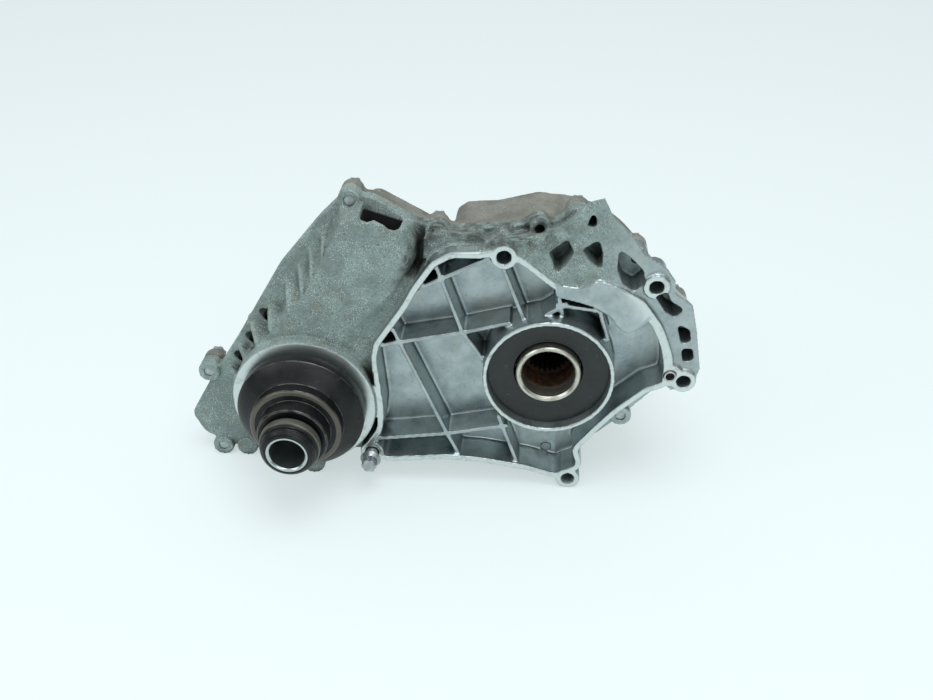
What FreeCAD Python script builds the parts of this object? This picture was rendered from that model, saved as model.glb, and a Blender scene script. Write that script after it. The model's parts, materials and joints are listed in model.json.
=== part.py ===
import FreeCAD, Part
import math
import os
from types import SimpleNamespace

import Sketcher

# Gear-driven transfer case of an all-wheel-drive car, in millimetres.
# Origin: the input axis, on the face that bolts to the gearbox.
# +Y runs along the shafts to the rear, +X to the right seen from the gearbox, +Z up.

SIZES = {
    # where the three shafts lie
    "front_axis_x": -194.0, "front_axis_z": -35.0, "floor_z": -114.0,
    # the halves of the housing
    "mating_face": 0.0, "parting_face": 40.0, "flange_front": 30.0, "flange_back": 50.0,
    "box_front": 6.0, "gear_case_back": 78.0, "case_wall": 6.0, "flange_width": 9.0,
    "drum_radius": 89.0, "drum_back": 142.0, "drum_wall": 12.0, "end_cone": 10.0,
    "tail_radius": 48.0, "tail_back": 180.0, "chamber_back": 92.0, "rear_wall": 4.5,
    "box_bevel": 12.0, "fin_width": 4.2, "fin_front": 8.0, "fin_back": 38.0, "top_band": 14.0,
    "strip_front": 9.0,
    "slot_front": 9.5, "slot_back": 29.5,
    # the ribbed bell on the gearbox side
    "bell_floor_front": 27.0, "bell_floor_back": 32.0, "bell_rim": 5.0, "rib_front": 3.0,
    "rib_width": 3.4, "band_inner": 88.0, "band_outer": 96.0, "lobe_front": 3.0,
    "lobe_depth": 22.0, "foot_radius": 9.8,
    # gearbox joints
    "mount_hole": 5.35, "mount_pad": 9.8, "mount_depth": 27.0, "dowel_radius": 4.6,
    "dowel_bore": 3.4, "dowel_length": 12.0,
    # input boss, its seal and bearing
    "input_boss": 51.0, "input_boss_front": -7.0, "input_boss_back": 36.0,
    "input_seal_radius": 47.5, "input_seal_front": 2.0, "input_seal_width": 10.0,
    "shoulder": 2.0, "shoulder_step": 4.0,
    "input_bearing_outer": 45.0, "input_bearing_width": 20.0,
    # input shaft
    "sleeve_front": -2.0, "sleeve_radius": 25.25, "sleeve_bore": 21.0, "sleeve_smooth": 34.0,
    "seat_radius": 25.0, "spline_depth": 1.6, "spline_length": 26.0, "spline_count": 26.0,
    "neck_radius": 22.0, "neck_bore": 17.0, "input_end": 104.0,
    # gear train
    "gear_module": 3.0, "gear_front": 40.0, "gear_width": 26.0, "drive_teeth": 37.0,
    "idler_teeth": 35.0, "gear_backlash": 0.3, "gear_rim": 6.0, "web_recess": 6.0,
    "roller_radius": 1.5, "roller_play": 0.03, "hub_wall": 5.5,
    "idler_axle_radius": 15.0, "idler_socket_wall": 6.0,
    # planetary differential
    "planet_module": 2.0, "sun_teeth": 32.0, "planet_teeth": 16.0, "ring_teeth": 64.0,
    "planet_count": 4.0, "planet_front": 78.0, "planet_width": 16.0, "planet_pin": 5.0,
    "carrier_plate": 4.0, "carrier_radius": 58.0, "planet_play": 0.3,
    # clutch that preloads the differential
    "ring_drum_radius": 73.0, "clutch_drum_bore": 67.5, "drum_plate": 6.0,
    "clutch_hub_radius": 47.0, "clutch_hub_wall": 4.0, "clutch_front": 106.0,
    "plate_pairs": 6.0, "friction_thickness": 1.8, "steel_thickness": 1.2, "plate_gap": 0.1,
    "plate_clear": 0.4, "disc_spring_height": 2.4, "disc_spring_thickness": 1.2,
    "drum_end": 130.0,
    # rear output
    "rear_shaft_pilot": 18.0, "rear_bearing_front": 146.0,
    "rear_bearing_width": 19.0, "rear_bearing_bore": 22.5, "rear_bearing_outer": 42.5,
    "rear_seal_radius": 38.0, "rear_seal_front": 168.0, "rear_seal_width": 10.0,
    "rear_hub_radius": 27.0, "rear_spline": 18.0, "rear_flange_front": 183.0,
    "rear_flange_thickness": 9.0, "rear_flange_radius": 61.0, "rear_bolt_circle": 48.0,
    "rear_bolt_hole": 6.1, "rear_thread": 12.0, "rear_nut_flats": 36.0, "rear_nut_height": 12.0,
    "rear_shaft_end": 208.0,
    # front output
    "front_boss": 58.0, "front_boss_front": -3.0, "front_boss_inner": 52.0,
    "front_bearing_front": 12.0, "front_bearing_width": 20.0, "front_bearing_outer": 45.0,
    "front_seal_radius": 41.0, "front_seal_front": -2.0, "front_seal_width": 10.0,
    "tail_bearing_front": 70.0, "tail_bearing_width": 17.0, "tail_bearing_bore": 17.5,
    "tail_bearing_outer": 36.0, "tail_bearing_wall": 8.0, "tail_cap": 97.0,
    "stub_front": -69.0, "stub_radius": 17.6, "stub_bore": 13.5, "stub_bore_depth": 42.0,
    "groove_radius": 21.0, "groove_depth": 1.2, "groove_pitch": 2.2, "collar_radius": 23.4,
    "collar_front": -59.5, "collar_back": -54.0, "shield_seat": 20.0, "shield_back": -9.0,
    "shield_rim": 8.0, "shield_bevel": 3.0, "shield_radius": 50.5, "dish_depth": 10.0,
    "pot_radius": 36.0, "pot_front": -37.0, "nose_radius": 27.5, "nose_front": -50.0,
    "seal_land": 26.0,
    # fasteners and fittings
    "case_bolt": 4.0, "case_bolt_head": 6.4, "case_bolt_flange": 8.0, "case_bolt_play": 0.2,
    "case_boss": 9.0, "case_bolt_length": 30.0,
    "plug_thread": 9.0, "plug_head": 12.5, "plug_boss": 15.0, "plug_washer": 1.5,
    "plug_socket": 5.0, "thrust_washer": 1.8, "lock_ring": 1.6, "breather_radius": 6.0,
    "breather_bore": 3.5, "breather_station": 110.0, "breather_height": 8.0,
    "running_fit": 0.03, "soft_gap": 0.3, "lug_radius": 7.5, "lug_hole": 3.6,
}

doc = FreeCAD.newDocument("transfer_case")
sheet = doc.addObject("Spreadsheet::Sheet", "Sizes")
for row, (alias, number) in enumerate(SIZES.items(), start=1):
    sheet.set(f"A{row}", alias)
    sheet.set(f"B{row}", str(number))
    sheet.setAlias(f"B{row}", alias)
doc.recompute()


class Dim:
    """A size with its value and the sheet expression that it is bound to."""

    def __init__(self, value, text):
        self.value = float(value)
        self.text = text

    def __float__(self):
        return self.value

    def __neg__(self):
        return Dim(-self.value, f"(-{self.text})")

    def __add__(self, other):
        return Dim(self.value + float(other), f"({self.text} + {text_of(other)})")

    def __radd__(self, other):
        return Dim(float(other) + self.value, f"({text_of(other)} + {self.text})")

    def __sub__(self, other):
        return Dim(self.value - float(other), f"({self.text} - {text_of(other)})")

    def __mul__(self, other):
        return Dim(self.value * float(other), f"({self.text} * {text_of(other)})")

    def __truediv__(self, other):
        return Dim(self.value / float(other), f"({self.text} / {text_of(other)})")


def text_of(item):
    return item.text if isinstance(item, Dim) else repr(float(item))


def square_root(item):
    return Dim(math.sqrt(item.value), f"sqrt({item.text})")


S = SimpleNamespace(**{name: Dim(sheet.get(name), f"Sizes.{name}") for name in SIZES})

# ---------------------------------------------------------------- the three axes
# The idler stands at the same distance from both shafts, above the line that joins them.

pitch_drive = S.gear_module * S.drive_teeth / 2
pitch_idler = S.gear_module * S.idler_teeth / 2
gear_distance = pitch_drive + pitch_idler
span = square_root(S.front_axis_x * S.front_axis_x + S.front_axis_z * S.front_axis_z)
rise = square_root(gear_distance * gear_distance - span * span / 4)
idler_x = S.front_axis_x / 2 + rise * S.front_axis_z / span
idler_z = S.front_axis_z / 2 - rise * S.front_axis_x / span

MAIN = (Dim(0, "0"), Dim(0, "0"))
FRONT = (S.front_axis_x, S.front_axis_z)
IDLER = (idler_x, idler_z)

nodes = []


def keep(item, label):
    item.Label = label
    nodes.append(item)
    return item


def place(item, axis):
    item.setExpression("Placement.Base.x", axis[0].text)
    item.setExpression("Placement.Base.z", axis[1].text)


# ---------------------------------------------------------------- pieces turned on a lathe

def turned_body(label, profile, axis=MAIN):
    """A body turned about a shaft axis. The profile is (radius, station along Y)."""
    body = doc.addObject("PartDesign::Body", label)
    body.Label = label
    sketch = body.newObject("Sketcher::SketchObject", label + "_profile")
    plane = [item for item in body.Origin.OriginFeatures if item.Role == "XY_Plane"][0]
    sketch.AttachmentSupport = (plane, [""])
    sketch.MapMode = "FlatFace"
    corners = [FreeCAD.Vector(float(r), float(y), 0) for r, y in profile]
    count = len(corners)
    for i in range(count):
        sketch.addGeometry(Part.LineSegment(corners[i], corners[(i + 1) % count]), False)
    for i in range(count):
        sketch.addConstraint(Sketcher.Constraint("Coincident", i, 2, (i + 1) % count, 1))
    for i, (radius, station) in enumerate(profile):
        for kind, item in (("DistanceX", radius), ("DistanceY", station)):
            rule = Sketcher.Constraint(kind, -1, 1, i, 1, float(item))
            index = sketch.addConstraint(rule)
            if isinstance(item, Dim):
                sketch.setExpression(f"Constraints[{index}]", item.text)
    turn = body.newObject("PartDesign::Revolution", label + "_turning")
    turn.Profile = sketch
    turn.ReferenceAxis = (sketch, ["V_Axis"])
    turn.Angle = 360
    sketch.Visibility = False
    place(body, axis)
    return body


def turned(label, profile, axis=MAIN):
    return keep(turned_body(label, profile, axis), label)


def ring(label, inner, outer, front, back, axis=MAIN):
    return turned(label, [(inner, front), (outer, front), (outer, back), (inner, back)], axis)


# ---------------------------------------------------------------- primitives along the shafts

def rod(name, radius, front, back, axis=MAIN):
    item = doc.addObject("Part::Cylinder", name)
    item.Placement = FreeCAD.Placement(
        FreeCAD.Vector(), FreeCAD.Rotation(FreeCAD.Vector(1, 0, 0), -90))
    item.setExpression("Radius", text_of(radius))
    item.setExpression("Height", text_of(back - front))
    item.setExpression("Placement.Base.y", text_of(front))
    place(item, axis)
    return item


def torus(name, big, small, station, axis=MAIN):
    item = doc.addObject("Part::Torus", name)
    item.Placement = FreeCAD.Placement(
        FreeCAD.Vector(), FreeCAD.Rotation(FreeCAD.Vector(1, 0, 0), -90))
    item.setExpression("Radius1", text_of(big))
    item.setExpression("Radius2", text_of(small))
    item.setExpression("Placement.Base.y", text_of(station))
    place(item, axis)
    return item


def cut(name, base, tool):
    item = doc.addObject("Part::Cut", name)
    item.Base = base
    item.Tool = tool
    return item


# ---------------------------------------------------------------- shapes computed from the sheet

def vec(x, y, z):
    return FreeCAD.Vector(float(x), float(y), float(z))


ALONG = FreeCAD.Vector(0, 1, 0)


def pole(radius, front, back, axis=MAIN):
    base = vec(axis[0], front, axis[1])
    return Part.makeCylinder(float(radius), float(back) - float(front), base, ALONG)


def cone(radius_front, radius_back, front, back, axis=MAIN):
    base = vec(axis[0], front, axis[1])
    height = float(back) - float(front)
    return Part.makeCone(float(radius_front), float(radius_back), height, base, ALONG)


def rounded_wire(points, station):
    """A closed outline in the XZ plane. Each point is (x, z, corner radius)."""
    y = float(station)
    count = len(points)
    edges = []
    ends = []
    for i, (x, z, radius) in enumerate(points):
        here = vec(x, y, z)
        to_last = vec(points[i - 1][0], y, points[i - 1][1]) - here
        to_next = vec(points[(i + 1) % count][0], y, points[(i + 1) % count][1]) - here
        reach = min(to_last.Length, to_next.Length) * 0.48
        to_last.normalize()
        to_next.normalize()
        half = to_last.getAngle(to_next) / 2
        back_off = min(radius / math.tan(half), reach)
        if back_off < 0.05:
            ends.append((here, here))
            continue
        start = here + to_last * back_off
        finish = here + to_next * back_off
        middle = to_last + to_next
        middle.normalize()
        arc_radius = back_off * math.tan(half)
        centre_distance = back_off / math.cos(half)
        inner = here + middle * (centre_distance - arc_radius)
        edges.append(Part.Arc(start, inner, finish).toShape())
        ends.append((start, finish))
    for i in range(count):
        first = ends[i][1]
        second = ends[(i + 1) % count][0]
        if first.distanceToPoint(second) > 1e-6:
            edges.append(Part.LineSegment(first, second).toShape())
    return Part.Wire(Part.__sortEdges__(edges))


def prism(points, front, back):
    face = Part.Face(rounded_wire(points, front))
    return face.extrude(ALONG * (float(back) - float(front)))


def inset(points, distance):
    """The same outline, each corner moved inwards by a wall."""
    area = 0.0
    count = len(points)
    for i in range(count):
        x1, z1 = points[i][0], points[i][1]
        x2, z2 = points[(i + 1) % count][0], points[(i + 1) % count][1]
        area += x1 * z2 - x2 * z1
    side = 1.0 if area > 0 else -1.0
    moved = []
    for i in range(count):
        x, z, radius = points[i]
        ax, az = x - points[i - 1][0], z - points[i - 1][1]
        bx, bz = points[(i + 1) % count][0] - x, points[(i + 1) % count][1] - z
        la, lb = math.hypot(ax, az), math.hypot(bx, bz)
        nax, naz = -az / la * side, ax / la * side
        nbx, nbz = -bz / lb * side, bx / lb * side
        scale = float(distance) / (1 + nax * nbx + naz * nbz)
        turn = (ax * bz - az * bx) * side
        new_radius = radius - float(distance) if turn > 0 else radius + float(distance)
        moved.append((x + (nax + nbx) * scale, z + (naz + nbz) * scale, max(new_radius, 1.0)))
    return moved


def sloped_block(front_points, back_points, front, back):
    wires = []
    for points, station in ((front_points, front), (back_points, back)):
        corners = [vec(x, station, z) for x, z in points]
        wires.append(Part.makePolygon(corners + corners[:1]))
    return Part.makeLoft(wires, True, True)


def rib_plate(start, finish, width, front, back):
    """A straight upright rib between two points of the XZ plane."""
    dx, dz = finish[0] - start[0], finish[1] - start[1]
    length = math.hypot(dx, dz)
    plate = Part.makeBox(length, float(back) - float(front), float(width))
    plate.translate(vec(0, front, -float(width) / 2))
    plate.rotate(FreeCAD.Vector(), ALONG, -math.degrees(math.atan2(dz, dx)))
    plate.translate(vec(start[0], 0, start[1]))
    return plate


def fuse_all(shapes):
    return shapes[0].multiFuse(shapes[1:]).removeSplitter()


def feature(label, shape, keep_it=True):
    item = doc.addObject("Part::Feature", label)
    item.Shape = shape
    item.Placement = FreeCAD.Placement()
    if keep_it:
        keep(item, label)
    return item


# ---------------------------------------------------------------- housing outlines

FLANGE = [
    (-301, -74, 8), (-281, -40, 30), (-253, 3, 40), (-211, 72, 60), (-178, 112, 30),
    (-160, 130, 10), (-137, 132, 8), (-124, 125, 10), (-106, 114, 20), (-80, 107, 20),
    (-26, 112, 20), (-11, 122, 8), (-2, 114, 5), (6, 120, 6), (17, 130, 9), (28, 121, 8),
    (40, 106, 20), (75, 86, 40), (100, 42, 40), (102, -5, 30), (90, -28, 20), (68, -54, 40),
    (36, -86, 40), (0, -95, 80), (-60, -97, 100), (-130, -103, 100), (-200, -107, 60),
    (-262, -108, 20), (-292, -94, 14),
]
# The rear half behind its flange: close round the gears, so that it slopes away at the top.
REAR_BODY = [
    (-290, -74, 8), (-272, -42, 28), (-246, 1, 38), (-204, 68, 50), (-173, 104, 20),
    (-158, 115, 8), (-147, 113, 4), (-138, 120, 8), (-84, 90, 8), (-60, 96, 10), (-30, 103, 20),
    (25, 103, 20), (66, 82, 40), (94, 42, 40), (97, -5, 30), (85, -27, 20), (64, -50, 40),
    (34, -81, 40), (0, -90, 80), (-60, -92, 100), (-130, -98, 100), (-200, -102, 60),
    (-258, -103, 20), (-283, -90, 12),
]
# The gear case on the front half: its front face, the foot of its bevelled edge, its foot.
BOX_FRONT = [
    (-252, -26), (-240, -3), (-229, 13), (-205, 40), (-190, 57), (-176, 82), (-164, 106),
    (-157, 120), (-143, 126), (-128, 122), (-111, 117), (-107, 104), (-109, 86), (-119, 66),
    (-130, 55), (-154, 28), (-167, 10), (-168, -60), (-194, -91), (-234, -70),
]
BOX_MIDDLE = [
    (-250, -29), (-238, -7), (-227, 10), (-203, 38), (-188, 56), (-174, 81), (-162, 104),
    (-157, 120), (-143, 127), (-127, 123), (-107, 118), (-103, 105), (-105, 87), (-114, 65),
    (-123, 45), (-141, 21), (-152, 0), (-158, -60), (-194, -96), (-242, -74),
]
BOX_BACK = [
    (-256, -36), (-242, -10), (-231, 8), (-208, 40), (-194, 58), (-180, 84), (-166, 106),
    (-160, 126), (-140, 128), (-124, 121), (-105, 111), (-100, 98), (-102, 84), (-112, 63),
    (-121, 43), (-140, 19), (-150, -2), (-154, -60), (-194, -104), (-258, -82),
]
BOX_HOLLOW_FRONT = [
    (-236, -20), (-222, 2), (-196, 30), (-180, 50), (-168, 72), (-160, 92), (-118, 92),
    (-116, 72), (-128, 52), (-148, 32), (-160, 10), (-164, -60), (-194, -85), (-228, -62),
]
BOX_HOLLOW_BACK = [
    (-244, -22), (-229, 0), (-204, 32), (-189, 52), (-175, 76), (-166, 95), (-113, 95),
    (-111, 72), (-125, 48), (-146, 25), (-157, 2), (-158, -60), (-194, -97), (-242, -70),
]
# Where each fin of the gear case starts on its front face, and where it ends on the flange.
FINS = [
    ((-173, 86), (-176.5, 107)), ((-182, 71), (-188, 92.5)), ((-190.5, 56), (-198.5, 78.3)),
    ((-202.5, 42), (-209.3, 65)), ((-219, 28), (-225, 39)), ((-230.5, 12), (-243, 21.5)),
    ((-241, -3), (-256, -3)), ((-250.5, -21), (-267.5, -25.5)),
]
# A slot in the top of the gear case, and the uneven top edge of the wall in front of it.
TOP_SLOT = [(-142, 99, 3), (-142, 145, 0), (-112.5, 145, 0), (-112.5, 99, 3)]
SLOT_LIP = [
    (-142.5, 145, 0), (-142.5, 126, 0), (-140.5, 123, 0), (-136, 121.5, 0), (-134, 122.5, 0),
    (-131, 123.5, 0), (-127, 121, 0), (-124.5, 120, 0), (-121, 116.5, 0), (-117, 115.5, 0),
    (-112.5, 117.5, 0), (-112.5, 145, 0),
]
TOP_BAND = [(-97, 90), (-96, 108), (-88, 112), (-55, 111), (-45, 104), (-70, 98)]
TOP_BAND_BACK = [(-97, 90), (-96, 104), (-88, 107), (-55, 107), (-45, 100), (-70, 95)]
# A sloping strip that fills the space between the gear case and the bell below its deep valley.
STRIP_FRONT = [
    (-112, 76), (-121, 66), (-132, 55), (-156, 28), (-169, 8), (-169, -30), (-134, -30),
    (-136, 8), (-132, 22), (-110, 58), (-103, 74),
]
STRIP_BACK = [
    (-108, 80), (-118, 70), (-130, 59), (-155, 31), (-169, 10), (-169, -30), (-134, -30),
    (-136, 10), (-131, 25), (-108, 61), (-101, 78),
]
BELL = [
    (-151, -83, 6), (-137, -60, 20), (-135, -40, 30), (-139, 8, 20), (-136, 22, 20),
    (-113, 57, 30), (-104, 74, 20), (-90, 95, 20), (-76, 103, 15), (-52, 104, 15),
    (-36, 108, 10), (-18, 97, 12), (4, 79, 20), (20, 77, 10), (34, 84, 10), (50, 78, 12),
    (68, 68, 20), (84, 46, 50), (94, 20, 50), (97, -6, 20), (78, -14, 10), (57, -34, 60),
    (42, -53, 30), (27, -74, 8), (33, -92, 10), (11, -105, 12), (-14, -97, 20), (-50, -91, 60),
    (-80, -89, 60), (-130, -94, 8),
]
LOBE = [
    (-60, 100), (-45, 112), (-11, 118), (8, 127), (23, 145), (33, 148), (40, 134), (54, 121),
    (64, 106), (82, 94), (89, 84), (90, 74), (104, 64), (110, 40), (116, 8), (112, -10),
    (96, -13), (80, 0), (60, 50), (20, 70), (-20, 88),
]
LOBE_BACK = [
    (-60, 97), (-45, 105), (-11, 108), (8, 116), (23, 131), (33, 134), (40, 120), (54, 107),
    (64, 93), (82, 82), (89, 74), (90, 66), (103, 54), (108, 34), (114, 6), (111, -10),
    (96, -13), (80, 0), (60, 50), (20, 70), (-20, 88),
]
WINDOWS = [
    [(-4, 104, 2), (9, 115, 2), (14, 104, 2), (8, 93, 2), (2, 87, 2)],
    [(20, 107, 2), (31, 115, 2), (35, 104, 2), (35, 91, 2), (26, 97, 2)],
    [(22, 126, 1), (25, 135, 1), (28, 133, 1), (29, 125, 1)],
    [(46, 108, 2), (56, 101, 3), (65, 91, 3), (67, 82, 3), (60, 74, 3), (51, 80, 5), (46, 92, 5)],
    [(75, 72, 2), (83, 76, 2), (88, 66, 3), (98, 60, 3), (92, 53, 3), (84, 58, 3)],
    [(94, 48, 2), (104, 42, 3), (106, 32, 3), (99, 30, 3)],
    [(100, 25, 2), (108, 26, 3), (110, 16, 3), (102, 13, 3)],
]
RIBS = [
    [(-125, 58), (-83, 79), (-45, 99)],
    [(-92, 106), (-83, 80), (-67, 33), (-45, 0)],
    [(-145, 15), (-118, 22), (-67, 33), (-30, 43)],
    [(-128, 52), (-116, 23), (-80, -64), (-66, -95)],
    [(-140, -73), (-81, -65), (-30, -54)],
    [(-40, 98), (-18, 40)],
    [(-38, -45), (-20, -98)],
    [(8, 52), (4, 72)],
    [(4, 60), (36, 56)],
    [(36, 56), (44, 30)],
    [(-5, 50), (12, 62)],
]
KIDNEY = [
    (2, 82, 4), (2, 69, 4), (18, 65, 8), (31, 61, 8), (44, 53, 6), (50, 44, 6), (57, 39, 4),
    (65, 43, 8), (73, 50, 4), (66, 64, 10), (52, 76, 10), (36, 83, 10), (20, 79, 8),
]
BELL_BOLTS = {"foot": (20.6, -104.2), "top": (-36.4, 100.3), "right": (75.5, 79.5),
              "side": (104.2, -2.6), "corner": (-142.0, -84.4)}
DOWEL = (93.3, 2.5)
CASE_BOLTS = [
    (-279, -28), (-277, -105), (-194, -104.5), (-128, -101), (-62, -95), (2, -92.5), (62, -57),
    (97, -12), (97, 46), (62, 90), (17, 120), (-88, 104), (-152, 129.5),
]
CLIP_LUG = (-11, 114)
REAR_FEET = [-70, 10]
PLUGS = {"fill_plug": (-160, 62), "drain_plug": (-108, -78)}
# The breather chamber on top of the rear half.
CHAMBER = [
    (-79, 84, 4), (-76, 97, 5), (-68, 103, 5), (-43, 105, 8), (-12, 113, 8), (3, 111, 8),
    (14, 101, 6), (18, 80, 4),
]
BREATHER_X = -14


def axis_at(x, z):
    return (Dim(x, repr(x)), Dim(z, repr(z)))


# ---------------------------------------------------------------- front housing

def bell_pocket():
    """The hollow of the bell, with its ribs, bosses and machined band left standing."""
    hollow = prism(inset(BELL, S.bell_rim), S.mating_face - 1, S.bell_floor_front)
    solid = [pole(S.input_boss, S.mating_face - 1, S.bell_floor_back)]
    band = pole(S.band_outer, S.mating_face - 1, S.bell_floor_front)
    band = band.cut(pole(S.band_inner, S.mating_face - 2, S.bell_floor_front + 1))
    sector = Part.makeBox(120, 60, 90, vec(20, -10, -12))
    solid.append(band.common(sector))
    solid.append(prism(KIDNEY, S.mating_face - 1, S.bell_floor_back))
    for x, z in BELL_BOLTS.values():
        solid.append(pole(S.mount_pad, S.mating_face - 1, S.bell_floor_back, axis_at(x, z)))
    for path in RIBS:
        for start, finish in zip(path[:-1], path[1:]):
            solid.append(rib_plate(start, finish, S.rib_width, S.rib_front, S.bell_floor_back))
            solid.append(pole(S.rib_width / 2, S.rib_front, S.bell_floor_back, axis_at(*start)))
    for piece in solid:
        hollow = hollow.cut(piece)
    return hollow


def fin_blade(start, finish, width, sink):
    """A fin between its two outer points, sunk into the wall of the gear case."""
    front = vec(start[0], S.fin_front, start[1])
    back = vec(finish[0], S.fin_back, finish[1])
    inwards = vec(0.85, 0, -0.53)
    corners = [front, back, back + inwards * sink, front + inwards * sink]
    blade = Part.Face(Part.makePolygon(corners + corners[:1]))
    across = (back - front).cross(inwards)
    across.normalize()
    fin = blade.extrude(across * float(width))
    fin.translate(across * (-float(width) / 2))
    return fin


def deep_pockets():
    """The lowest three spaces between the fins, which go deeper into the wall."""
    pockets = []
    for low, high in zip(FINS[4:-1], FINS[5:]):
        start = ((low[0][0] + high[0][0]) / 2, (low[0][1] + high[0][1]) / 2)
        finish = ((low[1][0] + high[1][0]) / 2, (low[1][1] + high[1][1]) / 2)
        apart = math.hypot(low[0][0] - high[0][0], low[0][1] - high[0][1])
        block = fin_blade(start, finish, apart - 6, 15)
        keep_in = Part.makeBox(400, float(S.slot_back - S.box_bevel), 400,
                               vec(-400, S.box_bevel, -200))
        pockets.append(block.common(keep_in))
    return pockets


def front_housing():
    solids = [
        prism(FLANGE, S.flange_front, S.parting_face),
        sloped_block(BOX_FRONT, BOX_MIDDLE, S.box_front, S.box_bevel),
        sloped_block(BOX_MIDDLE, BOX_BACK, S.box_bevel, S.flange_front + 1),
        pole(S.front_boss, S.front_boss_front, S.input_boss_back, FRONT),
        prism(BELL, S.mating_face, S.bell_floor_back),
        sloped_block(LOBE, LOBE_BACK, S.lobe_front, S.flange_front + 2),
        sloped_block(TOP_BAND, TOP_BAND_BACK, S.top_band, S.flange_front + 1),
        sloped_block(STRIP_FRONT, STRIP_BACK, S.strip_front, S.flange_front + 1),
        pole(S.lug_radius, S.top_band + 6, S.flange_front + 1, axis_at(*CLIP_LUG)),
    ]
    solids += [fin_blade(start, finish, S.fin_width, 16) for start, finish in FINS]
    for x, z in BELL_BOLTS.values():
        solids.append(pole(S.mount_pad, S.mating_face, S.flange_front + 1, axis_at(x, z)))
    solids.append(pole(S.mount_pad, S.mating_face, S.flange_front, axis_at(*DOWEL)))
    for x, z in CASE_BOLTS:
        solids.append(pole(S.case_boss, S.flange_front - 4, S.parting_face, axis_at(x, z)))
    solids.append(pole(S.case_boss, S.flange_front - 4, S.parting_face, axis_at(-256, -105)))
    solids.append(pole(S.foot_radius, S.box_front, S.parting_face,
                       (S.front_axis_x, S.floor_z + S.foot_radius)))
    casting = fuse_all(solids)
    casting = casting.cut(bell_pocket())
    for outline in WINDOWS:
        casting = casting.cut(prism(outline, S.mating_face - 1, S.lobe_front + S.lobe_depth))
    for pocket in deep_pockets():
        casting = casting.cut(pocket)
    casting = casting.cut(prism(TOP_SLOT, S.slot_front, S.slot_back))
    casting = casting.cut(prism(SLOT_LIP, S.box_front - 1, S.slot_front + 1))
    cavity = prism(inset(FLANGE, S.flange_width), S.bell_floor_back, S.parting_face + 1)
    box_hollow = sloped_block(BOX_HOLLOW_FRONT, BOX_HOLLOW_BACK,
                              S.box_front + S.case_wall, S.bell_floor_back + 1)
    box_hollow = box_hollow.cut(pole(S.front_boss_inner, 0, S.parting_face, FRONT))
    bearing_wall = pole(S.front_boss_inner, S.bell_floor_back - 1, S.input_boss_back, FRONT)
    input_wall = pole(S.input_boss, S.bell_floor_back - 1, S.input_boss_back)
    cavity = cavity.cut(bearing_wall).cut(input_wall)
    casting = casting.cut(cavity).cut(box_hollow)
    socket = pole(S.idler_axle_radius + S.idler_socket_wall, S.bell_floor_front,
                  S.gear_front - S.thrust_washer - 0.2, IDLER)
    casting = casting.fuse(socket).fuse(pole(S.input_boss, S.input_boss_front,
                                             S.bell_floor_front))
    input_bearing = S.input_seal_front + S.input_seal_width + S.shoulder
    bores = [
        pole(S.input_seal_radius, S.input_boss_front - 1, input_bearing - S.shoulder),
        pole(S.input_bearing_outer - S.shoulder_step, S.mating_face, input_bearing + 1),
        pole(S.input_bearing_outer, input_bearing, S.parting_face),
        pole(S.front_seal_radius, S.front_boss_front - 1, S.front_seal_front
             + S.front_seal_width, FRONT),
        pole(S.front_bearing_outer - S.shoulder_step, S.mating_face,
             S.front_bearing_front + 1, FRONT),
        pole(S.front_bearing_outer, S.front_bearing_front, S.parting_face, FRONT),
        pole(S.idler_axle_radius, S.bell_floor_front + 3, S.parting_face, IDLER),
    ]
    for x, z in BELL_BOLTS.values():
        bores.append(pole(S.mount_hole, S.mating_face - 1, S.mount_depth, axis_at(x, z)))
    bores.append(pole(S.dowel_radius, S.mating_face - 1, S.dowel_length, axis_at(*DOWEL)))
    bores.append(pole(S.lug_hole, S.top_band, S.flange_front, axis_at(*CLIP_LUG)))
    for x, z in CASE_BOLTS:
        bores.append(pole(S.case_bolt, S.flange_front - 8, S.parting_face + 1, axis_at(x, z)))
    for bore in bores:
        casting = casting.cut(bore)
    return casting.removeSplitter()


# ---------------------------------------------------------------- rear housing

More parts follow.
